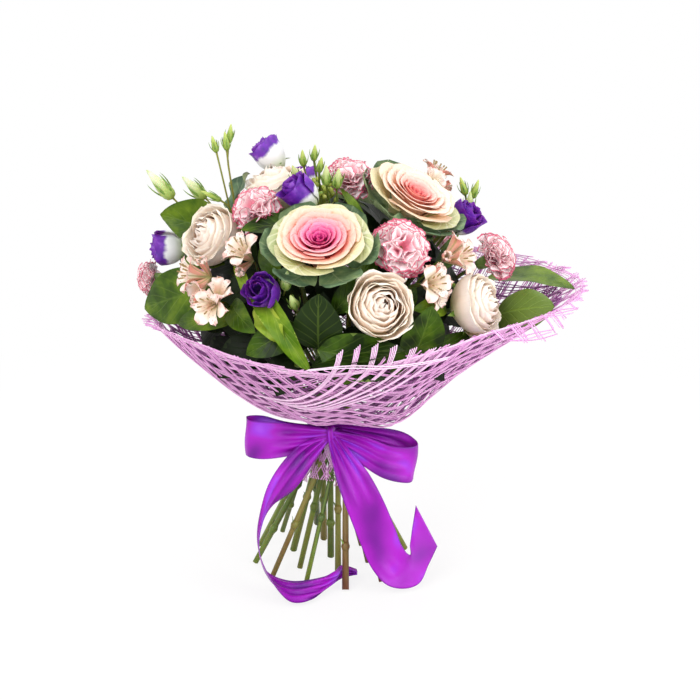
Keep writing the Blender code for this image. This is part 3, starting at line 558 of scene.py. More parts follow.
def leaf_marks(fronts, tint):
    """Across from -1 to 1, along from 0 to 1, and each leaf's own tint, which on the large leaves is painted
    light and shade.
    """
    n, m = fronts.shape[1:3]
    return {"across": spaced(n, -1, 1)[None, :, None], "along": spaced(m)[None, None],
            "tint": np.reshape(tint, (-1, 1, 1))}


def leaf_run(node):
    """A leaf solid's base, tip, face, width and arch, from the main directions of its places."""
    places = joined_up(node)[0]
    middle = places.mean(0)
    along, side, face = np.linalg.svd(places - middle, full_matrices=False)[2]
    far, off = (places - middle) @ along, (places - middle) @ side
    base, tip = sorted((places[far.argmin()], places[far.argmax()]), key=lambda p: np.linalg.norm(p - TIE))
    face = face * np.sign(face @ (middle - HEART))
    width = np.ptp(off)
    waist = (np.abs(far) < 0.15 * np.ptp(far)) & (np.abs(off) < 0.2 * width)
    arch = ((places[waist] - (base + tip) / 2) @ face).mean()
    return base, tip, face, width * 1.04, arch


for order, node in enumerate(LEAF_NODES):
    fronts = blades(*leaf_run(node), fold=0.16, wave=0.018, grid=(13, 21), turn=order * 1.9)
    marks = leaf_marks(fronts, LEAF_LIGHT_AND_SHADE[node])
    fixed(shells(node.replace("leaf", "salal"), fronts, LEAF_WALL, salal, **marks), "leaf", node)


def placed(x, y, z):
    """Places from their three coordinates, which are spread over one grid."""
    return np.stack(np.broadcast_arrays(x, y, z), -1)


def round_the_heart(azimuth, tilt, away):
    """Places round the heart, from their azimuths, their tilts from straight up and their distances."""
    azimuth, tilt = np.radians(azimuth), np.radians(tilt)
    ray = placed(np.sin(azimuth) * np.sin(tilt), -np.cos(azimuth) * np.sin(tilt), np.cos(tilt))
    return HEART + ray * away[:, None]


def leaf_group(name, bases, tips, widths, finish, fold, wave, grid, **form):
    """Several small leaves as one piece, each facing away from the heart."""
    base, tip = (round_the_heart(*np.array(places, float).T) for places in (bases, tips))
    turn = np.arange(len(base)) * 2.4
    arch = 0.10 * np.linalg.norm(tip - base, axis=1)
    fronts = blades(base, tip, unit((base + tip) / 2 - HEART), np.array(widths), arch, fold, wave,
                    grid=grid, turn=turn, **form)
    fixed(shells(name, fronts, LEAF_WALL * 0.7, finish, **leaf_marks(fronts, turn % 1)), "leaf")


leaf_group("crinkled_leaves", *zip(*CRINKLED_LEAVES), collar_skin, 0.3, 0.09, (13, 21), shape=(0.7, 0.4))
leaf_group("small_salal", *zip(*SMALL_SALAL), salal, 0.22, 0.02, (9, 15))
leaf_group("fresh_leaves", *zip(*FRESH_LEAVES), fresh_leaf, 0.5, 0.11, (11, 31), shape=(0.35, 0.5))

# The leaves left on the flowers' stems fill the shade between the heads, and are painted nearly black as
# painted shade. They are spread evenly round the heart, each a golden angle on from the last, and draw in
# below, where the wrap closes round them.
order = np.arange(SHADE_LEAVES)
tilt = np.degrees(np.arccos(1 - SHADE_SPAN * (order + 0.5) / SHADE_LEAVES))
azimuth = order * NEXT_LEAF
draw_in = 1 - DRAWN_IN * np.clip(tilt - DRAWN_FROM, 0, None)
twist = 24 * np.sin(order * 2.4) / np.sin(np.radians(np.clip(tilt, 25, 90)))
tip_tilt = np.minimum(tilt - 21 * np.cos(order * 1.7), SHADE_LOWEST)
leaf_group("shade_leaves", placed(azimuth, tilt, SHADE_BASE * draw_in),
           placed(azimuth + twist, tip_tilt, SHADE_TIP * draw_in),
           0.031 + 0.008 * np.sin(order * 3.1), shade_leaf, 0.2, 0.03, (7, 11))


# ------------------------------------------------------------------ the tiny buds
# A spray of tiny round buds, yellow-green, that stands on hair-thin stalks among the buds at the top.
# Its stalks bend up and out from one foot, and each bud is a ball on the end of its stalk.

TINY_BUDS = 30
TINY_MIDDLE = np.array([-0.008, -0.014, 0.401])
TINY_SPREAD = 0.017, 0.012  # along x and along y
TINY_TURN = 2.39996  # from one bud to the next
TINY_STALK, TINY_THIN, TINY_ROUND = 0.05, 0.0004, 0.0024

tiny_skin = skin = Finish("tiny_bud", Roughness=0.5)
skin.paint(skin.noise(160.0, 2.0).ramp((0.3, "#7E8E2C"), (0.55, "#A9B548"), (0.8, "#D2D47C")))

order = np.arange(TINY_BUDS)
turn = order * TINY_TURN
spread = np.sqrt((order + 0.5) / TINY_BUDS)
tops = TINY_MIDDLE + placed(TINY_SPREAD[0] * spread * np.cos(turn), TINY_SPREAD[1] * spread * np.sin(turn),
                            0.008 * np.sin(order * 1.9) - 0.006 * spread**2)
v = spaced(7)[None, :, None]
foot = TINY_MIDDLE - [0, 0, TINY_STALK]
stalk = foot + (tops[:, None] - foot) * v + np.array([0, 0, 0.008]) * np.sin(np.pi * v)
bulb = tops[:, None] + np.array([0, 0, 0.0026]) * np.sin(spaced(7, -1.5, 1.5))[None, :, None]
thick = np.append(np.full(7, TINY_THIN), TINY_ROUND * np.cos(spaced(7, -1.35, 1.5)))
ring = thick[:, None, None] * placed(np.cos(evenly_round(6)), np.sin(evenly_round(6)), 0)
fixed(tubes("tiny_buds", np.concatenate([stalk, bulb], 1)[:, :, None] + ring, tiny_skin), "leaf")


# ------------------------------------------------------------------ the roses
# Five cream spray roses, half open. Each is a spiral of soft petals, closed like a bud at the heart,
# and looser, wavy and turned back at the rim outside, where they are tinged green. They sit in a
# small green cup with five sepals.

ROSES = ["rose_front", "rose_left", "rose_right", "rose_top", "rose_back"]
ROSE_PETALS = 24
PETAL_WALL = 0.0005
CALYX_WALL = 0.0004
GOLDEN = math.pi * (3 - math.sqrt(5))  # each petal grows this far round from the one before
# The cup under a flower, from its foot to its mouth: shares of the flower's reach and of its height.
CUP_ROWS = np.array([(0.060, -0.05), (0.150, -0.03), (0.225, 0.04), (0.2475, 0.12), (0.270, 0.20),
                     (0.225, 0.24), (0.015, 0.25)])
PETAL_GLOW = {"Subsurface_Weight": 0.2, "Subsurface_Radius": (1.0, 0.75, 0.6), "Subsurface_Scale": 0.004}


def standing(node):
    """How a turned solid stands: its seat, its three directions, its height and its reach. Its seat
    and its top are the two places where most of its triangles meet, the seat nearer the tie."""
    places, faces = joined_up(node)
    busiest = places[np.argsort(np.bincount(faces.ravel()))[-2:]]
    seat, top = sorted(busiest, key=lambda place: np.linalg.norm(place - TIE))
    axis = unit(top - seat)
    side = unit(np.cross(axis, (0, 0, 1)))
    up = (places - seat) @ axis
    out = np.linalg.norm(places - seat - up[:, None] * axis, axis=1)
    return seat, np.stack([side, np.cross(axis, side), axis]), up.max(), out.max()


def bend(share, first, middle, last):
    """A smooth bend from the first number to the last, drawn towards the middle one."""
    return first * (1 - share)**2 + 2 * middle * share * (1 - share) + last * share**2


def petal_grid(count, n, m):
    """For petals on a grid: each one's order and its layer from 0 at the heart to 1 outside, then u
    from -1 to 1 across and v from 0 to 1 along."""
    order = np.arange(count)[:, None, None]
    return order, (order + 0.5) / count, spaced(n, -1, 1)[None, :, None], spaced(m)[None, None]


def ripple(order, rate):
    """A number from 0 to 1 that differs from petal to petal, and is the same on every run."""
    return (order * rate) % 1


def waves(order, u, *parts):
    """Waves across a petal. Each is a size times the sine of a rate times u, plus a start of the petal's
    own: so many radians times its ripple."""
    return sum(size * np.sin(rate * u + start * ripple(order, own)) for size, rate, start, own in parts)


def widening(v, foot, full):
    """A petal's width along it: a share at its foot, and all of it from where v is full."""
    return foot + (1 - foot) * np.sin(np.pi / 2 * np.minimum(v / full, 1))


def curved_out(radius, angle, up, side=0.0):
    """Places from how far out, at what angle and how high they are, and how far to the side of that way."""
    x = radius * np.cos(angle) - side * np.sin(angle)
    y = radius * np.sin(angle) + side * np.cos(angle)
    return placed(x, y, up)


def petal_marks(layer, u, v, order):
    """Across, along, layer and tint, for the petals' finish."""
    return {"across": u, "along": v, "layer": layer, "tint": ripple(order, 0.618)}


def furled(grid, radius, half, up, turn):
    """Petals round the axis, with their marks, from a radius, half an angle across and a height. The
    angle falls as u grows, so that the front of a petal faces the heart."""
    order, layer, u, v = grid
    return curved_out(radius, order * GOLDEN + turn - u * half, up), petal_marks(layer, u, v, order)


def rose_petals(height, reach, turn):
    """Cups round the axis. Each petal's radius bends from a narrow foot out to its belly, half way up,
    and on to its rim. The last third of it rolls outwards and down by the square of the way along,
    more in the outer layers, while the innermost petals stay closed over the heart."""
    order, layer, u, v = grid = petal_grid(ROSE_PETALS, 17, 15)
    half = np.radians(105 - 42 * layer) * widening(v, 0.4, 0.5)
    belly = reach * (0.30 + 0.63 * layer)
    rim = reach * (0.02 + 0.86 * layer**1.5)
    top = height * (1.0 - 0.04 * ripple(order, 0.29) - 0.20 * layer**2)
    climb = v * (1 - (0.18 * np.abs(u)**2.4 + waves(order, u, (0.045, 5.2, 9, 0.37))) * v**2)
    roll = np.clip((climb - 0.66) / 0.34, 0, 1)**2
    opened = np.minimum(4 * layer, 1)
    foot = 0.2 * belly
    wave = waves(order, u, (1, 6.5, 11, 0.53), (0.5, 13, 19, 0.29)) * v**3
    wave = wave * (0.3 + 1.1 * layer) * reach * 0.04
    radius = bend(climb, foot, 2 * belly - (foot + rim) / 2, rim) * (1 + 0.07 * u * (1 - 0.4 * layer))
    radius = radius + reach * roll * opened * (0.10 + 0.18 * layer) + wave
    up = top * bend(climb, 0.0, 0.42, 1.0) - height * roll**2 * opened * (0.05 + 0.11 * layer) + wave
    return furled(grid, radius, half, up, turn)


# Fine streaks run along every petal: noise drawn out along it, different on each one.
petal_streaks = Effect("petal_streaks", "Streak", Across=0.0, Along=0.0, Tint=0.0, Fineness=22.0)
across, along, tint, fineness = petal_streaks.taken
drawn_out = petal_streaks.step("CombineXYZ", (0, across * fineness), (1, along * 2.5), (2, tint * 37.0))
petal_streaks.gives(petal_streaks.noise(1.0, way=drawn_out))


def streaks(skin, fineness=22.0):
    """The fine streaks, in one petal's finish."""
    return skin.through(petal_streaks, "across", "along", "tint", Fineness=fineness)


rose_skin = skin = Finish("rose_petal", Roughness=0.55, **PETAL_GLOW)
along, streak = skin.mark("along"), streaks(skin)
# Towards their feet, deep in the flower, the petals are painted a deeper peach: partly their own warmer base,
# partly painted shade in the gaps between them.
inner = along.ramp((0.0, "#F9A868"), (0.55, "#FDC79E"), (0.82, "#FEE2CA"), (1.0, "#FFF4EA"))
outer = along.ramp((0.0, "#B4C068"), (0.3, "#F2E4B8"), (0.62, "#FDE7D2"), (0.9, "#FFF5EC"), (1.0, "#F8EFD2"))
cream = inner.tinged(skin.mark("layer").rise(0.25, 0.8), outer)
cream = cream.tinged(streak.rise(0.5, 0.75) * 0.22, "#F2C9B4")
skin.paint(cream.tinged(skin.noise(90.0, 2.0).rise(0.55, 0.75) * 0.25, "#EFE7C4"))
skin.relief(streak, 0.0004, 0.5)


def flower(node, petals, turn, wall, finish, slot, part="petals", **more):
    """The head that stands for a turned solid, from its petals' own function and a turn of its own, so
    that no two are alike. It gives back how the solid stands."""
    seat, directions, height, reach = stand = standing(node)
    fronts, marks = petals(height, reach, turn)
    head = shells(f"{node}_{part}", seat + fronts @ directions, wall, finish, **marks, **more)
    fixed(head, slot, node)
    return stand


def leaves_round(height, reach, way, foot, tip, width, arch, **form):
    """Leaves round an axis at these angles. Foot and tip are shares of the reach and of the height, and
    the tip's reach swings by a share three times round; width and arch are shares of the reach."""
    base = curved_out(reach * foot[0], way, height * foot[1])
    end = curved_out(reach * (tip[0] + tip[2] * np.sin(3 * way)), way, height * tip[1])
    return blades(base, end, [0, 0, 1], reach * width, reach * arch, **form)


def calyx(node, seat, directions, height, reach, slot):
    """A swollen cup under a flower, turned from an outline, and five narrow sepals bent outwards."""
    cup = curved_out(CUP_ROWS[:, :1] * reach, evenly_round(12), CUP_ROWS[:, 1:] * height)
    fixed(tubes(f"{node}_cup", (seat + cup @ directions)[None], sepal_skin), slot)
    way = evenly_round(SEPALS) + len(node)
    sepals = leaves_round(height, reach, way, (0.2, 0.10), (0.95, 0.12, 0.2), 0.34, 0.16,
                          fold=0.4, grid=(5, 9), shape=(0.3, 0.8))
    fixed(shells(f"{node}_sepals", seat + sepals @ directions, CALYX_WALL, sepal_skin), slot)


for order, node in enumerate(ROSES):
    stand = flower(node, rose_petals, order * 1.7, PETAL_WALL, rose_skin, "rose_petal")
    calyx(node, *stand, "rose_petal")


# ------------------------------------------------------------------ the ornamental cabbages
# Three heads of ornamental cabbage. The leaves stand like a rose's petals, thick and ruffled: magenta
# at the heart, then pink, peach and cream, and greenish and veined outside, over a collar of broad
# crinkled grey-green leaves. The right-hand head is paler than the others.

CABBAGES = ["cabbage_front", "cabbage_right", "cabbage_back"]
CABBAGE_LEAVES = 27
CABBAGE_WALL = 0.0008
COLLAR_LEAVES = 6


def cabbage_leaves(height, reach, turn):
    """Leaves round a shallow dome. Each one climbs steeply from the core and then flares out to its rim,
    so that its inner face shows; the rims are gently ruffled, and fall on the outermost leaves."""
    order, layer, u, v = grid = petal_grid(CABBAGE_LEAVES, 23, 11)
    half = np.radians(104 - 54 * layer**0.6) * widening(v, 0.35, 0.55)
    rim = reach * (0.03 + 0.97 * layer**0.95) * (0.97 + 0.07 * ripple(order, 0.43))
    fall = 0.20 * np.clip((layer - 0.80) / 0.20, 0, 1)**1.3
    top = height * (0.92 + 0.10 * np.sin(np.pi * layer**0.8) - 0.05 * ripple(order, 0.29) - fall)
    climb = v * (1 - (0.10 * np.abs(u)**2.4 + waves(order, u, (0.03, 3.1, 8, 0.53))) * v)
    ruffle = waves(order, u, (0.7, 7, 20, 0.37), (0.3, 15, 31, 0.71)) * v**4 * (0.35 + layer) * reach
    base_up = height * 0.30 * (1 - layer)
    radius = rim * bend(climb, 0.30, 0.52, 1.0) + reach * 0.05 * np.clip((v - 0.8) / 0.2, 0, 1)**2 * layer
    radius = radius * (1 + 0.05 * u * (1 - 0.5 * layer)) + ruffle * 0.012
    up = base_up + (top - base_up) * bend(climb, 0.0, 0.86, 1.0) + ruffle * 0.024
    return furled(grid, radius, half, up, turn)


def cabbage_finish(name, greens, heart, inner, middle, outer, rim, frill):
    """A cabbage leaf's skin: its colour goes by its layer and pales to the rim. From the layer where it
    greens, it is veined and freckled."""
    skin = Finish(name, Roughness=0.5, **PETAL_GLOW)
    layer = skin.mark("layer")
    base = (layer + (skin.noise(70.0) - 0.5) * 0.16).ramp(
        (0.1, heart), (0.3, inner), (0.52, middle), (greens - 0.1, outer), (greens, "#E4C994"),
        (greens + 0.07, "#A9B268"), (1.0, "#7F9450"))
    edge = layer.ramp((0.12, inner), (0.34, rim), (0.6, frill), (greens - 0.04, "#FADBC0"),
                      (greens + 0.04, "#E6DCAC"), (1.0, "#B9C488"))
    veins = skin.through(leaf_veins, "across", "along", Count=7.0, Slant=3.5, Width=0.22)
    outside = layer.rise(greens - 0.06, greens + 0.1)
    leaf = base.tinged(skin.mark("along").rise(0.72, 1.0), edge)
    leaf = leaf.tinged(veins * (outside * 0.5 + 0.12), "#F3EFD2")
    leaf = leaf.tinged(skin.noise(480.0, 2.0).rise(0.62, 0.7) * (outside * 0.4), "#6F6A46")
    skin.paint(leaf.tinged(skin.mark("underside") * outside, leaf.tinged(0.5, "#A9B67E")))
    skin.relief(skin.noise(210.0) - veins * 0.5, 0.0012, 0.6)
    return skin


pink = cabbage_finish("pink_cabbage", 0.82, "#C80E80", "#F0559A", "#F46A74", "#F69A7C", "#F9A0B4", "#F9BFAE")
peach = cabbage_finish("peach_cabbage", 0.92, "#F06A74", "#F78C86", "#FBB394", "#FEDABA", "#FECFC2",
                       "#FFE2D2")
for order, (node, skin) in enumerate(zip(CABBAGES, (pink, peach, pink))):
    seat, directions, height, reach = flower(node, cabbage_leaves, 2.1 * order, CABBAGE_WALL, skin,
                                             "cabbage_leaf", "leaves")
    way = evenly_round(COLLAR_LEAVES) + 1.1 * order
    collar = leaves_round(height, reach, way, (0.30, 0.25), (1.16, 0.72, 0.08), 0.86, -0.10,
                          fold=0.12, wave=0.045, grid=(15, 15), shape=(0.7, 0.32), turn=way)
    fixed(shells(f"{node}_collar", seat + collar @ directions, CABBAGE_WALL, collar_skin,
                 **leaf_marks(collar, 0.3 + way % 0.5)), "cabbage_leaf")


# ------------------------------------------------------------------ the carnations
# Six carnations, white flushed with pink, with a dark pink line along each cut and toothed petal edge.
# Fan-shaped petals burst out of a long green calyx tube and fold over one another.

CARNATION_PETALS = 38
CALYX_SHARE = 0.42  # how much of the head's height is the calyx
TEETH = 9
PETAL_THIN = 0.0004
# The calyx from its foot to its toothed mouth: shares of the head's reach and of its height.
CALYX_ROWS = np.array([(0.10, 0.0), (0.17, 0.02), (0.21, 0.12), (0.235, 0.25), (0.25, 0.38), (0.30, 0.47),
                       (0.2, 0.48)])


def heads(kind):
    """The solids of one kind of flower, without their stems, in order of their names."""
    return sorted(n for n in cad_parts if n.startswith(kind) and not n.endswith("_stem"))


def carnation_petals(height, reach, turn):
    """Fans from the calyx's mouth to a low dome. Each one's end leans away from the axis by an angle
    that grows with its order; its path bends from straight up to that way. Folds run along the fan and
    grow with v squared, and its edge is a saw of small teeth."""
    order, layer, u, v = petal_grid(CARNATION_PETALS, 27, 7)
    lean = np.radians(8 + 100 * layer**0.75)
    mouth = CALYX_SHARE * height
    tooth = 1 - 0.06 * np.abs((TEETH * (u + 1) + ripple(order, 0.37)) % 2 - 1)
    climb = v * tooth * (1 - 0.16 * np.abs(u)**3)
    out = reach * (0.74 + 0.20 * ripple(order, 0.77)) * np.sin(lean)
    up = mouth + (height - mouth) * (0.18 + 0.80 * np.cos(lean) * (0.9 + 0.1 * ripple(order, 0.53)))
    fold = waves(order, u, (1, 4.6, 17, 0.71), (0.4, 11.5, 28.9, 0.71)) * v**2 * reach * 0.12
    squeeze = np.cos(4.6 * u + 17 * ripple(order, 0.71)) * v**2 * reach * 0.07
    breadth = reach * (0.52 + 0.16 * layer) * u * (0.15 + 0.85 * v**0.8)
    away = bend(climb, 0.05 * reach, 0.16 * reach + 0.2 * out, out) + fold * np.cos(lean)
    rising = bend(climb, mouth * 0.9, mouth + 0.9 * np.clip(up - mouth, 0.12 * height, None), up)
    rising = rising - fold * np.sin(lean) * 0.9
    places = curved_out(away, order * GOLDEN + turn, rising, -(breadth + squeeze))
    return places, petal_marks(layer, u, v * tooth, order)


carnation_skin = skin = Finish("carnation_petal", Roughness=0.6, **PETAL_GLOW)
along, streak = skin.mark("along"), streaks(skin, 30.0)
# Towards their feet the petals are painted pinker: partly their own flush, partly painted shade inside the
# folds.
blush = along.ramp((0.0, "#FF8FAE"), (0.45, "#FFBCCB"), (0.72, "#FFE9EA"), (0.9, "#FFF4F4"))
blush = blush.tinged(streak.rise(0.52, 0.7) * along.rise(0.35, 0.9) * 0.35, "#EE7FA2")
skin.paint(blush.tinged(along.rise(0.90, 0.935) * 0.92, "#D0205F"))
skin.relief(streak, 0.0003, 0.5)

calyx_skin = skin = Finish("calyx_skin", Roughness=0.5)
skin.paint(skin.noise(130.0).ramp((0.3, "#5B7C35"), (0.55, "#7C9A4C"), (0.8, "#A5B878")))
skin.relief(skin.noise(600.0, 2.0), 0.0003, 0.5)

turn = evenly_round(20)
width, level = CALYX_ROWS[:, :1], CALYX_ROWS[:, 1:]
for order, node in enumerate(heads("carnation_")):
    seat, directions, height, reach = flower(node, carnation_petals, order * 1.3, PETAL_THIN, carnation_skin,
                                             "carnation_petal")
    mouth = 0.012 * np.cos(5 * turn) * (level > 0.4)
    tube = curved_out(width * reach * (1 + 0.03 * np.cos(5 * turn)), turn, (level + mouth) * height)
    fixed(tubes(f"{node}_calyx", (seat + tube @ directions)[None], calyx_skin), "carnation_petal")


# ------------------------------------------------------------------ the lisianthus
# Six lisianthus flowers, white cups with deep violet rims, mostly half open: eleven wide thin petals,
# each wavy at the top and furled about the next, over a cup with five narrow sepals.

LISIANTHUS_PETALS = 11
# How far the violet comes down a flower's petals, where it is more than on the others.
VIOLET_SHARES = {"lisianthus_centre": 0.55, "lisianthus_front": 0.75, "lisianthus_right": 0.6}
PLAIN_VIOLET = 0.2


def lisianthus_petals(height, reach, turn):
    """Furled cups. The radius bends from the seat to a full belly and a rim that opens more outside;
    the rim waves and rolls over, and the top falls to the petal's sides."""
    order, layer, u, v = grid = petal_grid(LISIANTHUS_PETALS, 19, 15)
    half = np.radians(100 - 30 * layer) * widening(v, 0.5, 0.5)
    belly = reach * (0.30 + 0.62 * layer)
    top = height * (0.99 - 0.12 * layer * ripple(order, 0.61))
    climb = v * (1 - 0.20 * np.abs(u)**2.2 * v)
    wave = waves(order, u, (1, 5.2, 13, 0.37), (0.5, 11, 23, 0.71)) * v**5
    curl = np.clip((climb - 0.74) / 0.26, 0, 1)**2 * layer
    radius = belly * bend(climb, 0.25, 1.55, 0.72 + 0.3 * layer) * (1 + 0.10 * u)
    radius = radius + reach * (curl * (0.22 + 0.10 * np.sin(2.3 * u + order)) + wave * (0.05 + 0.06 * layer))
    up = top * bend(climb, 0.0, 0.34, 1.0) + height * (wave * 0.02 - curl * 0.10)
    return furled(grid, radius, half, up, turn)


lisianthus_skin = skin = Finish("lisianthus_petal", Roughness=0.5, **PETAL_GLOW)
along = skin.mark("along")
rimward = along + (streaks(skin, 3.0) - 0.5) * 0.26 + skin.mark("violet") * 0.4
cup_white = along.ramp((0.0, "#A9B96A"), (0.2, "#DDE3C2"), (0.45, "#F2F0F0"), (1.0, "#F7F4F8"))
violet = skin.noise(120.0).ramp((0.3, "#460C8A"), (0.55, "#681AA6"), (0.8, "#9650C8"))
skin.paint(cup_white.tinged(rimward.rise(0.72, 0.84), violet))
skin.relief(streaks(skin, 26.0), 0.0003, 0.5)

for order, node in enumerate(heads("lisianthus_")):
    stand = flower(node, lisianthus_petals, order * 2.3, PETAL_THIN, lisianthus_skin, "lisianthus_petal",
                   violet=VIOLET_SHARES.get(node, PLAIN_VIOLET))
    calyx(node, *stand, "lisianthus_petal")


# ------------------------------------------------------------------ the alstroemeria
# Six sprays of alstroemeria, cream flushed with salmon, each of three florets: one wide open, one half
# open and one still nearly closed. A floret has three broad outer petals, green at the tip, and three
# narrow inner ones streaked dark brown; six thin stamens stand in the open one.

# The florets: how far each leans and which way, in radians, its size and how open it is.
FLORETS = [(0.18, 0.0, 1.0, 0.74), (0.72, 2.2, 0.92, 0.55), (0.80, 4.3, 0.86, 0.18)]
# A floret's two rounds of petals: how far round it starts, its length and width, and 1 if it is inside.
ROUNDS = [(0.0, 0.96, 0.37, 0.0), (np.pi / 3, 1.02, 0.22, 1.0)]
STAMENS = 6
STAMEN_THIN, ANTHER_THICK = 0.0003, 0.0008


def tepals(height, reach, turns, length, spread, width):
    """Broad petals from the seat, rising in a funnel and bending outwards to their tips: away and up are
    bends along v, the half width is widest three quarters along, and the edges lift and wave."""
    turns = np.reshape(turns, (-1, 1, 1))
    u, v = spaced(9, -1, 1)[None, :, None], spaced(13)[None, None]
    half = width * np.maximum(v**0.75 * (1 - v)**0.42 / 0.498, 0.04)
    wave = np.sin(3.5 * u + 8 * v + 2.2 * turns) * reach * 0.08 * v**2
    away = bend(v, 0.05, 0.12 + 0.2 * spread, spread) * reach + wave
    up = height * length * bend(v, 0.0, 0.92, 0.92 - 0.2 * spread) + (0.5 * u**2 - 0.1) * half * (1 - 0.4 * v)
    return curved_out(away, turns, up, -u * half), u, v


def tilted(lean, turn):
    """Three directions, square to each other, whose third leans from upright by an angle towards a turn."""
    axis = np.array([math.cos(turn) * math.sin(lean), math.sin(turn) * math.sin(lean), math.cos(lean)])
    side = unit(np.cross(np.cross(axis, (1, 0, 0)), axis))
    return np.stack([side, np.cross(axis, side), axis])


def spray(height, reach, order):
    """The petals of a spray's florets, each in its own directions, with their marks."""
    parts = []
    for lean, way, size, spread in FLORETS:
        own = tilted(lean, way + 2.0 * order)
        for start, length, width, inner in ROUNDS:
            fronts, u, v = tepals(height * size, reach * size, evenly_round(3) + start + order, length,
                                  spread * (1 - 0.12 * inner), reach * width * size * (0.42 + 0.58 * spread))
            parts.append((fronts @ own, *np.broadcast_arrays(u, v, inner, fronts[..., 0])[:3]))
    fronts, across, along, inner = (np.concatenate(part) for part in zip(*parts))
    return fronts, {"across": across, "along": along, "inner": inner, "tint": order * 3.7}


tepal_skin = skin = Finish("alstroemeria_petal", Roughness=0.5, **PETAL_GLOW)
along, across, inner, below = (skin.mark(name) for name in ("along", "across", "inner", "underside"))
salmon = along.ramp((0.0, "#B9C27A"), (0.25, "#EFB79C"), (0.6, "#EE9C8C"), (0.9, "#EB8F86"), (1.0, "#9A8A4C"))
creamy = along.ramp((0.0, "#D3CF86"), (0.35, "#F7E8CC"), (0.75, "#FCEEE4"), (1.0, "#F4C4B8"))
petal = creamy.tinged(below, salmon).tinged(inner, creamy)
petal = petal.tinged(skin.noise(75.0, 2.0).rise(0.48, 0.7) * 0.5, "#EFA9A0")
petal = petal.tinged((1 - abs(across).rise(0.05, 0.3)) * below * 0.6, "#8E9A45")  # a green stripe behind
dash_way = skin.step("CombineXYZ", (0, across * 5.5), (1, along * 8.0), (2, skin.mark("tint")))
dash = skin.step("TexVoronoi", ("Vector", dash_way), ("Scale", 1.0), ("Randomness", 0.7), out="Distance")
dash = (1 - dash.rise(0.2, 0.3)) * (inner * along.rise(0.25, 0.4))
skin.paint(petal.tinged(dash * 0.85, "#5A1F1A"))
skin.relief(streaks(skin, 18.0), 0.0003, 0.5)

stamen_skin = skin = Finish("stamen", Roughness=0.5)
skin.paint(skin.mark("along").ramp((0.0, "#F3DDCF"), (0.8, "#EFC7BC"), (0.86, "#A58A54"), (1.0, "#8A7040")))

turn = evenly_round(STAMENS)[:, None] + 0.4
v = spaced(9)[None]
for order, node in enumerate(heads("alstroemeria_")):
    seat, directions, height, reach = flower(node, spray, order, PETAL_THIN, tepal_skin, "alstroemeria_petal")
    away = bend(v, 0.04, 0.05, 0.30 + 0.08 * np.sin(5 * turn)) * reach
    stamens = curved_out(away, turn, height * 0.92 * v) - np.array([0, 0.12, 0]) * reach * v[..., None]**2
    thick = np.where(v > 0.85, ANTHER_THICK, STAMEN_THIN)[..., None, None]
    stamens = rings_round(stamens, thick, 5) @ tilted(0.12, 2.0 * order) @ directions
    fixed(tubes(f"{node}_stamens", seat + stamens, stamen_skin, along=v[..., None]), "alstroemeria_petal")


# ------------------------------------------------------------------ the tie
# Jute twine wound round the crossed stems under the wrap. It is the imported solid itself, in a
# better finish.

skin = Finish("jute_twine", Roughness=0.85)
lay = skin.step("TexWave", ("Vector", skin.place()), ("Scale", 160.0), ("Distortion", 2.0),
                bands_direction="DIAGONAL")
skin.paint(lay.ramp((0.0, "#6E5433"), (0.6, "#A98757"), (1.0, "#CBB083")))
skin.relief(lay, 0.0006)
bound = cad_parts["binding_twine"].data.materials
bound.clear()
bound.append(skin.material)


# ------------------------------------------------------------------ the net wrap
# A square of stiff lilac sisal net, its strands in threes, laid under the bouquet and gathered round
# the stems, so that it stands out as a bowl. Its edge is folded over in a hem, which turns down at the
# right front and stands up at the middle, and the cut strands stick out of it.

# The solid's edge, every 45 degrees round the bouquet from behind: radius and height in metres.
EDGE_RADIUS = np.array([0.180, 0.178, 0.172, 0.176, 0.170, 0.194, 0.250, 0.205, 0.180])
EDGE_HEIGHT = np.array([0.286, 0.280, 0.266, 0.284, 0.270, 0.294, 0.300, 0.294, 0.286])
COLLAR_RADIUS = 0.0215
COLLAR_HEIGHT = TIE[2] + 0.010
BOWL = 1.75  # the power of the bowl's curve; on the right it runs straighter
NET_SIDE = 0.46
NET_REACH, NET_STEPS, SHORTEST = 0.34, 900, 60  # a strand is followed this far, and kept from so many steps
STRAND = 0.00055
STRAND_GAP = 0.0016  # between the three strands of a group
STRAND_POINTS = 44
NECK_CLEAR = 0.020  # strands that would pass nearer the middle end in the gathers
# Each layer's direction in degrees, the gap between its groups, its shift, how far it is lifted in or
# out, its seed and its reach. The first two lie outside and show; the net folded under them is painted
# darker, as painted shade.
NET_LAYERS = [(34, 0.0135, 0.004, 0.0010, 1.0, 1), (-34, 0.0135, -0.003, 0.0, 2.0, 1),
              (42, 0.0105, 0.009, -0.0035, 3.0, 0.92), (-44, 0.0105, 0.003, -0.0045, 4.0, 0.92)]
# How pale each set of strands is painted: the two inner layers at 0 are painted dark, as painted shade.
NET_TONES_AND_SHADE = [0.48, 0.58, 0.0, 0.0, 0.7, 0.75, 1.0]  # the layers, the hem, the standing groups, the pair
HEM_STRANDS, HEM_LENGTHS, HEM_GAP, HEM_IN = 5, 6, 0.0017, 0.007
UPRIGHT_GROUPS, UPRIGHT_GAP, UPRIGHT_SWEEP = 7, 5.2, 38  # the last two in degrees


def near(value, place, width):
    """1 at a place and less on both sides of it, in a bell curve of this width."""
    return np.exp(-((value - place) / width)**2)


def eased(azimuth, values):
    """The solid's edge between its given places, in smooth steps."""
    place = (azimuth + 180) % 360 / 45
    low = np.clip(place.astype(int), 0, 7)
    share = place - low
    share = share * share * (3 - 2 * share)
    return values[low] * (1 - share) + values[low + 1] * share


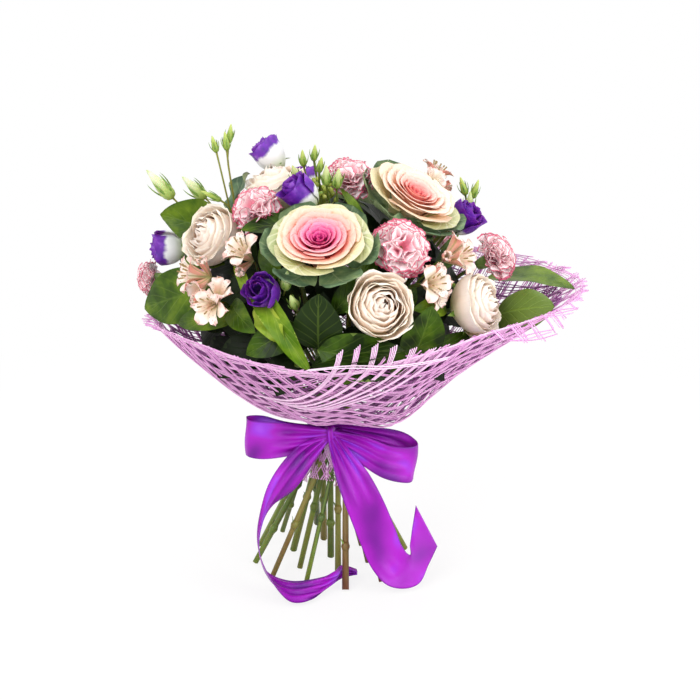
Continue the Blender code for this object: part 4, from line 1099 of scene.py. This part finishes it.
def net_place(azimuth, out, lift):
    """Where a place on the flat net lies once it is gathered. The way round stays; the way out is
    shared between the collar and the edge, and the height follows it to the power of the bowl. Past
    the edge the net turns down and out on the right, and stands up at the front middle."""
    azimuth = (azimuth + 180) % 360 - 180
    rim, rim_up = eased(azimuth, EDGE_RADIUS), eased(azimuth, EDGE_HEIGHT)
    share = np.clip(out / rim, 0, 1)
    bag = 0.024 * near(azimuth, 52, 20) * near(share, 0.38, 0.17)
    folds = 0.002 * np.sin(np.radians(9 * azimuth)) * np.sin(np.pi * share)
    upright, turned_down = near(azimuth, 14, 18), near(azimuth, 62, 20)
    over = np.clip(out - rim, 0, None)
    up = COLLAR_HEIGHT + (rim_up - COLLAR_HEIGHT) * share**(BOWL - 0.5 * near(azimuth, 72, 30)) + folds - bag
    up = up + over * (0.25 + 1.0 * upright - 1.1 * turned_down) - lift * 0.8
    radius = COLLAR_RADIUS + (rim - COLLAR_RADIUS) * share + lift * 0.6
    radius = radius + over * (0.9 - 0.85 * upright - 0.1 * turned_down)
    return curved_out(radius, np.radians(azimuth - 90), up)


def on_the_net(offset, along, swing):
    """Azimuth and distance of places on the flat net: beside a strand's line, and along it."""
    x = along * np.cos(swing) - offset * np.sin(swing)
    y = along * np.sin(swing) + offset * np.cos(swing)
    return np.degrees(np.arctan2(x, -y)), np.hypot(x, y)


def net_strands(direction, gap, shift, lift, seed, reach):
    """Straight strands of the flat net in groups of three, from where each enters its edge to where it
    leaves; those that pass near the middle are cut in two by the gathers."""
    groups = np.arange(-24, 25)
    middle = groups * gap + shift + 0.0009 * np.sin(groups * 2.7 + seed)
    offset = (middle[:, None] + np.array([-1, 0, 1]) * STRAND_GAP).reshape(-1, 1)
    swing = np.repeat(np.radians(direction + 1.1 * np.sin(groups * 1.9 + seed)), 3)[:, None]
    along = spaced(NET_STEPS, -NET_REACH, NET_REACH)
    azimuth, out = on_the_net(offset, along, swing)
    ragged = 0.002 + 0.003 * np.sin(np.arange(len(offset)) * 5.1 + seed)[:, None]
    ragged = ragged + 0.018 * near(azimuth, 62, 14) + 0.010 * near(azimuth, -78, 14)
    inside = out < eased(azimuth, EDGE_RADIUS) * reach + ragged * (reach == 1)
    runs = []
    for row in np.flatnonzero(inside.sum(1) > SHORTEST):
        first, last = along[inside[row]][[0, -1]]
        clear = math.sqrt(max(NECK_CLEAR**2 - offset[row, 0]**2, 0))
        for start, end in [(first, -clear), (clear, last)] if clear else [(first, last)]:
            s = spaced(STRAND_POINTS, start, end)
            sway = 0.0011 * np.sin(s * 61 + row * 1.3 + seed)
            runs.append(net_place(*on_the_net(offset[row] + sway, s, swing[row]), lift))
    return np.array(runs)


def run_length(runs):
    """The length of all the runs together."""
    return np.linalg.norm(np.diff(runs, axis=1), axis=-1).sum()


sisal = skin = Finish("sisal_strand", Roughness=0.6, Sheen_Weight=0.2)
fibre = skin.noise(340.0)
skin.paint((fibre * 0.4 + skin.mark("tint") * 0.8).ramp(
    (0.15, "#6A2268"), (0.35, "#9A4E98"), (0.58, "#CE86C4"), (0.8, "#E6AEDC"), (1.0, "#F8DCF2")))
skin.relief(fibre, 0.0003)

layers = [net_strands(*layer) for layer in NET_LAYERS]

# The hem: the net's edge is folded over, and five strands run along it all the way round.
azimuth = np.repeat(np.arange(HEM_LENGTHS) * 60.0, HEM_STRANDS)[:, None] + spaced(STRAND_POINTS, -3, 63)
row = np.tile(np.arange(HEM_STRANDS), HEM_LENGTHS)[:, None]
sway = 0.0009 * np.sin(np.radians(11 * azimuth) + row)
layers.append(net_place(azimuth, eased(azimuth, EDGE_RADIUS) - HEM_IN + HEM_GAP * row + sway, 0.0004 * row))

# Seven groups of four stand up past the hem at the front, the higher the further left. Each one starts
# low and to the left, and sweeps up to its own place.
group = np.repeat(np.arange(UPRIGHT_GROUPS), 4)[:, None]
fourth = np.tile(np.arange(4) - 1.5, UPRIGHT_GROUPS)[:, None]
rise = spaced(STRAND_POINTS)
azimuth = 3.5 + UPRIGHT_GAP * (group + 0.1 * fourth) - UPRIGHT_SWEEP * (1 - rise)**1.6
free = 0.024 * (1 - group / 8) + 0.0008 * fourth
out = eased(azimuth, EDGE_RADIUS) * (0.66 + 0.34 * rise**1.5) + free * rise**3
layers.append(net_place(azimuth, out, 0.0022))

# A pale pair of strands has come loose from the hem and crosses them.
azimuth = spaced(STRAND_POINTS, -6, 37) + [[0.0], [0.4]]
out = eased(azimuth, EDGE_RADIUS) + spaced(STRAND_POINTS, 0.015, -0.014) + [[0.0], [0.0018]]
layers.append(net_place(azimuth, out, 0.0045))

net_runs = np.concatenate(layers)
shade = np.repeat(NET_TONES_AND_SHADE, [len(layer) for layer in layers])
tint = (shade + 0.22 * (np.arange(len(net_runs)) * 0.618 % 1))[:, None, None]
net = tubes("net_wrap", rings_round(net_runs, STRAND, 4), sisal, tint=tint)
fixed(net, "wrap_mesh", "mesh_wrap")
net_cloth = min(run_length(net_runs) * math.pi * STRAND, NET_SIDE**2)


# ------------------------------------------------------------------ the skirt
# The gathered middle of the net shows below the bow as a short skirt round the stems: threes of
# strands that cross on the slant, from inside the bow to their cut ends, and flare a little.

SKIRT_GROUPS = 30
SKIRT_LEAN = 1.05  # how far round a group leans on its way down, in radians
SKIRT_GAP = 0.075  # between the strands of a group, in radians
SKIRT_RADIUS, SKIRT_FLARE = 0.0204, 0.0135
SKIRT_LAYER = 0.0004  # the two directions lie this far outside and inside the middle
SKIRT_STRAND = STRAND * 1.25
SKIRT_TOP = COLLAR_HEIGHT - 0.004
SKIRT_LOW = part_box("mesh_wrap")[0].z - 0.013

group = np.repeat(np.arange(SKIRT_GROUPS), 3)[:, None]
third = np.tile([-1, 0, 1], SKIRT_GROUPS)[:, None]
drop = spaced(26)
way = np.where(group % 2, 1, -1)
level = SKIRT_TOP - (SKIRT_TOP - SKIRT_LOW - 0.008 * np.abs(np.sin(group * 2.1))) * drop
turn = group * 2 * np.pi / SKIRT_GROUPS + way * SKIRT_LEAN * drop + third * SKIRT_GAP
radius = SKIRT_RADIUS + SKIRT_FLARE * drop**2.2 + way * SKIRT_LAYER
skirt_runs = curved_out(radius, turn - np.pi / 2, level)
tint = (0.45 + 0.5 * (group * 0.37 % 1))[:, None]
skirt = tubes("net_skirt", rings_round(skirt_runs, SKIRT_STRAND, 4), sisal, tint=tint)
fixed(skirt, "wrap_mesh")
skirt_cloth = run_length(skirt_runs) * math.pi * SKIRT_STRAND


# ------------------------------------------------------------------ the ribbon
# A violet satin ribbon, 38 mm wide, tied over the wrap in a bow: a gathered band with its knot in
# front, two loops, and two tails that hang, twist and lie on the ground. It is pleated where it is tied.

RIBBON = 0.038
RIBBON_WALL = 0.0005
PLEAT = 0.0032
RIPPLE = 0.0011
# Each run of ribbon, along its solid: three numbers for its middle line in mm, three for the way
# across it, and its width in mm.
RIBBON_RUNS = {
    "ribbon_loop_left": [
        (-3, -37, 152, 0, 0, 1, 13), (-32, -44, 151, 0, 0.1, 1, 30), (-62, -48, 151, 0, 0.1, 1, 38),
        (-80, -44, 151, 0, 0.1, 1, 39), (-83, -34, 152, 0, 0, 1, 39), (-66, -29, 153, 0, 0, 1, 34),
        (-42, -31, 154, 0, 0, 1, 22), (-12, -30, 156, 0, 0, 1, 9)],
    "ribbon_loop_right": [
        (3, -37, 151, 0.2, 0, 1, 13), (29, -45, 142, 0.3, 0.1, 1, 27), (56, -52, 130, 0.3, 0.1, 1, 34),
        (80, -46, 124, 0.1, 0.1, 1, 38), (85, -35, 126, 0.1, 0, 1, 39), (68, -29, 136, 0.2, 0, 1, 34),
        (42, -31, 147, 0.1, 0, 1, 22), (12, -30, 156, 0, 0, 1, 9)],
    "ribbon_tail_left": [
        (-4, -36, 149, -0.5, 0, 0.6, 10), (-25, -47, 134, -0.55, -0.1, 0.7, 26),
        (-47, -59, 108, -0.6, -0.45, 0.5, 35), (-65, -66, 80, -0.2, -0.9, 0.3, 36),
        (-71, -73, 50, 0.1, -0.95, 0.2, 38), (-62, -86, 23, 0.2, -0.95, 0.2, 38),
        (-40, -96, 10, 0, -0.96, -0.22, 34), (-13, -94, 12, -0.35, -0.75, -0.5, 29),
        (2, -77, 12, -0.5, -0.3, -0.8, 20), (12, -58, 11, -0.2, -0.1, -0.95, 14),
        (27, -54, 9, -0.1, 0, -1, 5)],
    "ribbon_tail_right": [
        (3, -38, 149, 1, 0, 0.5, 11), (14, -50, 131, 0.85, -0.1, 0.3, 24), (24, -57, 112, 0.9, 0, 0.35, 33),
        (36, -67, 87, 0.9, 0, 0.4, 38), (47, -75, 61, 0.9, 0.1, 0.4, 38),
        (57, -79, 38, 0.75, 0.3, 0.55, 38), (69, -79, 24, 0.55, 0.45, 0.7, 38),
        (84, -70, 25, -0.2, 0.35, 0.9, 40), (91, -60, 42, -0.4, 0.2, 0.9, 42),
        (97, -52, 60, -0.45, 0.1, 0.88, 49)],
}


def smooth_through(stations, count):
    """Rows of numbers evenly along a Catmull-Rom curve through the given rows."""
    rows = np.array(stations, float)
    rows = np.concatenate([[2 * rows[0] - rows[1]], rows, [2 * rows[-1] - rows[-2]]])
    place = spaced(count, 0, len(rows) - 3)
    low = np.minimum(place.astype(int), len(rows) - 4)
    t = (place - low)[:, None]
    a, b, c, d = (rows[low + i] for i in range(4))
    return 0.5 * (2 * b + (c - a) * t + (2 * a - 5 * b + 4 * c - d) * t**2 + (3 * b - a - 3 * c + d) * t**3)


def ribbon_front(stations, turn):
    """The ribbon's face: its middle line plus a share of its width across. Where it is narrower than it
    was cut, pleats push it in and out along its normal, the more the narrower; elsewhere it ripples.
    The painted fold light is 1 where either of them stands out: the satin is painted lighter there, as a
    highlight, and darker in the hollows."""
    lines = smooth_through(stations, 97)
    middle, way, width = lines[:, :3] / 1000, unit(lines[:, 3:6]), lines[:, 6] / 1000
    u, v = spaced(33, -1, 1)[:, None, None], spaced(len(middle))[:, None]
    flat = middle + way * u * width[:, None] / 2
    normal = unit(np.cross(np.gradient(flat, axis=0), np.gradient(flat, axis=1)))
    gathered = np.clip(1 - width / RIBBON, 0, 1)[:, None]
    pleats = np.sin(10.5 * u + turn) * gathered**0.5
    ripples = np.sin(2.4 * u + 17 * v + turn) * (1 - gathered)
    proud = PLEAT * pleats * np.minimum(1, 12 * v) + RIPPLE * ripples * np.sin(np.pi * v)
    length = np.linalg.norm(np.diff(middle, axis=0), axis=1).sum()
    crest = 0.5 + 0.5 * (pleats + 0.5 * ripples)
    return (flat + normal * proud)[None], crest[None, ..., 0], length


satin = skin = Finish("violet_satin", Roughness=0.27, Specular_IOR_Level=0.5, Specular_Tint="#CDB4FF",
                      Anisotropic=0.5, Sheen_Weight=0.1, Sheen_Roughness=0.35, Sheen_Tint="#D98BFF")
# Painted highlight and shade: broad patches of the satin and the crests of its folds are painted lighter and
# bluer, and the hollows darker.
painted_satin_light = skin.noise(24.0, 1.0) + (skin.mark("crest") - 0.5) * 0.42
violet = painted_satin_light.ramp((0.22, "#5A0478"), (0.42, "#8A0C9E"), (0.6, "#A014B4"), (0.74, "#9634D2"),
                  (0.92, "#AC66EC"))
weft = skin.step("TexWave", ("Vector", skin.step("CombineXYZ", (0, skin.mark("along")))),
                 ("Scale", 120.0), ("Distortion", 0.6), bands_direction="X")
selvage = abs(skin.mark("across")).rise(0.93, 0.96)
skin.paint(violet.tinged(selvage * 0.5, "#4E0670").tinged(weft * 0.06, "#C24FE0"))
skin.relief(weft * 0.3 + selvage, 0.00012, 0.6)

for order, (node, stations) in enumerate(RIBBON_RUNS.items()):
    fronts, crest, length = ribbon_front(stations, order * 1.1)
    n, m = fronts.shape[1:3]
    run = shells(node.replace("ribbon", "satin"), fronts, RIBBON_WALL, satin, crest=crest,
                 across=spaced(n, -1, 1)[:, None], along=spaced(m) * length / RIBBON)
    fixed(run, "ribbon_satin", node)
    held = "gathered" if "loop" in node else "hung"


# ------------------------------------------------------------------ the band and the knot
# The band is the same ribbon pushed together to half its width, in six folds; the knot is a turn
# of it pulled down over the front, with pleats from top to bottom. Both come from their solid's box.

BAND_HALF = 0.0088
BAND_FOLDS, FOLD_DEEP = 6, 0.0010
KNOT_WIDE, KNOT_TALL, KNOT_DOWN = 0.010, 0.017, 0.0013
KNOT_PLEATS = 7
KNOT_SUNK = 0.002  # its back is pressed into the band

band_low, band_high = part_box("ribbon_band")
band_radius = band_high[1] + 0.0003
turn = spaced(97)[:, None] * 2 * np.pi
over = spaced(43, -1, 1)
folds = np.cos(BAND_FOLDS * np.pi * (over + 1) + 0.4 * np.sin(2 * turn))
level = TIE[2] + over * BAND_HALF + 0.0006 * np.sin(3 * turn)
outer = curved_out(band_radius - FOLD_DEEP * (1 - folds), turn - np.pi / 2, level)
inner = outer * (1 - RIBBON_WALL / band_radius * np.array([1, 1, 0]))
# Painted highlight and shade: the crests of the band's folds are painted lighter and their hollows darker.
crest = 0.35 + 0.3 * np.concatenate([folds, folds[:, ::-1]], axis=1)
band = tubes("satin_band", np.concatenate([outer, inner[:, ::-1]], axis=1)[None], satin, across=0.0,
             along=turn * band_radius / RIBBON, crest=crest)
fixed(band, "ribbon_satin", "ribbon_band")

knot_deep = -band_low[1] - band_radius + KNOT_SUNK
up = spaced(21, -1, 1)[:, None]
turn = evenly_round(48)
pleats = np.cos(KNOT_PLEATS * turn + 1.5 * up)
bulge = np.sqrt(np.maximum(1 - np.abs(up)**5, 0.02)) * (1 + 0.08 * pleats)
back = -band_radius + KNOT_SUNK
knot_place = placed(KNOT_WIDE / 2 * bulge * np.cos(turn), back - knot_deep / 2 * (1 - bulge * np.sin(turn)),
                    TIE[2] - KNOT_DOWN + up * KNOT_TALL / 2)
# Painted highlight and shade: the crests of the knot's pleats are painted lighter and their hollows darker.
knot = tubes("satin_knot", knot_place[None], satin, across=0.0, along=0.3 * up, crest=0.5 + 0.35 * pleats)
fixed(knot, "ribbon_satin", "ribbon_band")


# ------------------------------------------------------------------ the setting
# A plain pale floor under a white surround, one broad soft lamp from the front left and above, a
# weaker one from the right, a third from behind, and a camera a little above the bouquet.

CAMERA_AIM = np.array([0.020, 0.0, 0.229])
CAMERA_FAR = 1.9
CAMERA_LIFT = math.radians(20)
LENS, SENSOR = 97.7, 36
# Each lamp's place, its size and its power.
LAMPS = {"key": ((-0.9, -1.5, 1.7), 1.5, 32.0), "fill": ((1.7, -1.1, 0.9), 1.6, 28.0),
         "top": ((0.2, 0.9, 1.9), 1.4, 16.0)}
SURROUND = 0.66
FLOOR_HALF = 3.0
FLOOR_DROP = 0.0005  # it lies this far under the lowest point of the solids
WHITE_NEAR = 0.82  # the share of plain white that the camera sees on the floor round the feet
SHADOW_REACH = (0.3, 0.75)  # beyond this it is all white


def aimed(thing, place):
    """Puts a lamp or camera at a place, turned to the bouquet."""
    ahead = Vector(CAMERA_AIM) - Vector(place)
    thing.location = place
    thing.rotation_mode = "QUATERNION"
    thing.rotation_quaternion = ahead.to_track_quat("-Z", "Y")
    bpy.context.scene.collection.objects.link(thing)
    return thing


camera = bpy.data.cameras.new("camera")
camera.lens, camera.sensor_width = LENS, SENSOR
bpy.context.scene.camera = aimed(bpy.data.objects.new("camera", camera), CAMERA_AIM + CAMERA_FAR * np.array(
    [0, -math.cos(CAMERA_LIFT), math.sin(CAMERA_LIFT)]))

for name, (place, size, power) in LAMPS.items():
    lamp = bpy.data.lights.new(name, "AREA")
    lamp.size, lamp.energy = size, power
    aimed(bpy.data.objects.new(name, lamp), place)

skin = Finish("floor_paint", Roughness=0.9)
skin.paint("#F4F3F1")
far_off = skin.step("VectorMath", (0, skin.place(1, 1, 0)), operation="LENGTH", out="Value")
glow = skin.step("Emission", ("Color", "#FFFFFF"), ("Strength", 1.0), out="Emission")
white_share = far_off.rise(*SHADOW_REACH) * (1 - WHITE_NEAR) + WHITE_NEAR
seen = skin.step("LightPath", out="Is Camera Ray")
plain = Flow(skin, skin.shader.outputs[0])
soft_floor = skin.step("MixShader", (0, seen * white_share), (1, plain), (2, glow))
skin.feed(skin.tree.nodes["Material Output"].inputs["Surface"], soft_floor)
corners = np.array([(-1, -1, 0), (1, -1, 0), (1, 1, 0), (-1, 1, 0)]) * FLOOR_HALF
floor = new_piece("floor", corners + [0, 0, cad_box[0].z - FLOOR_DROP], [(0, 1, 2, 3)], skin)

surround = bpy.data.worlds.new("surround")
bpy.context.scene.world = surround
surround.use_nodes = True
air = Steps(surround.node_tree)
camera_ray, glossy, through_glass = (air.step("LightPath", out=f"Is {ray} Ray")
                                     for ray in ("Camera", "Glossy", "Transmission"))
white_for = air.sum("MAXIMUM", camera_ray, air.sum("MAXIMUM", glossy, through_glass))
background = surround.node_tree.nodes["Background"]
air.feed(background.inputs["Color"], "#FFFFFF")
air.feed(background.inputs["Strength"], white_for * (1 - SURROUND) + SURROUND)
bpy.context.scene.view_settings.view_transform = "Standard"
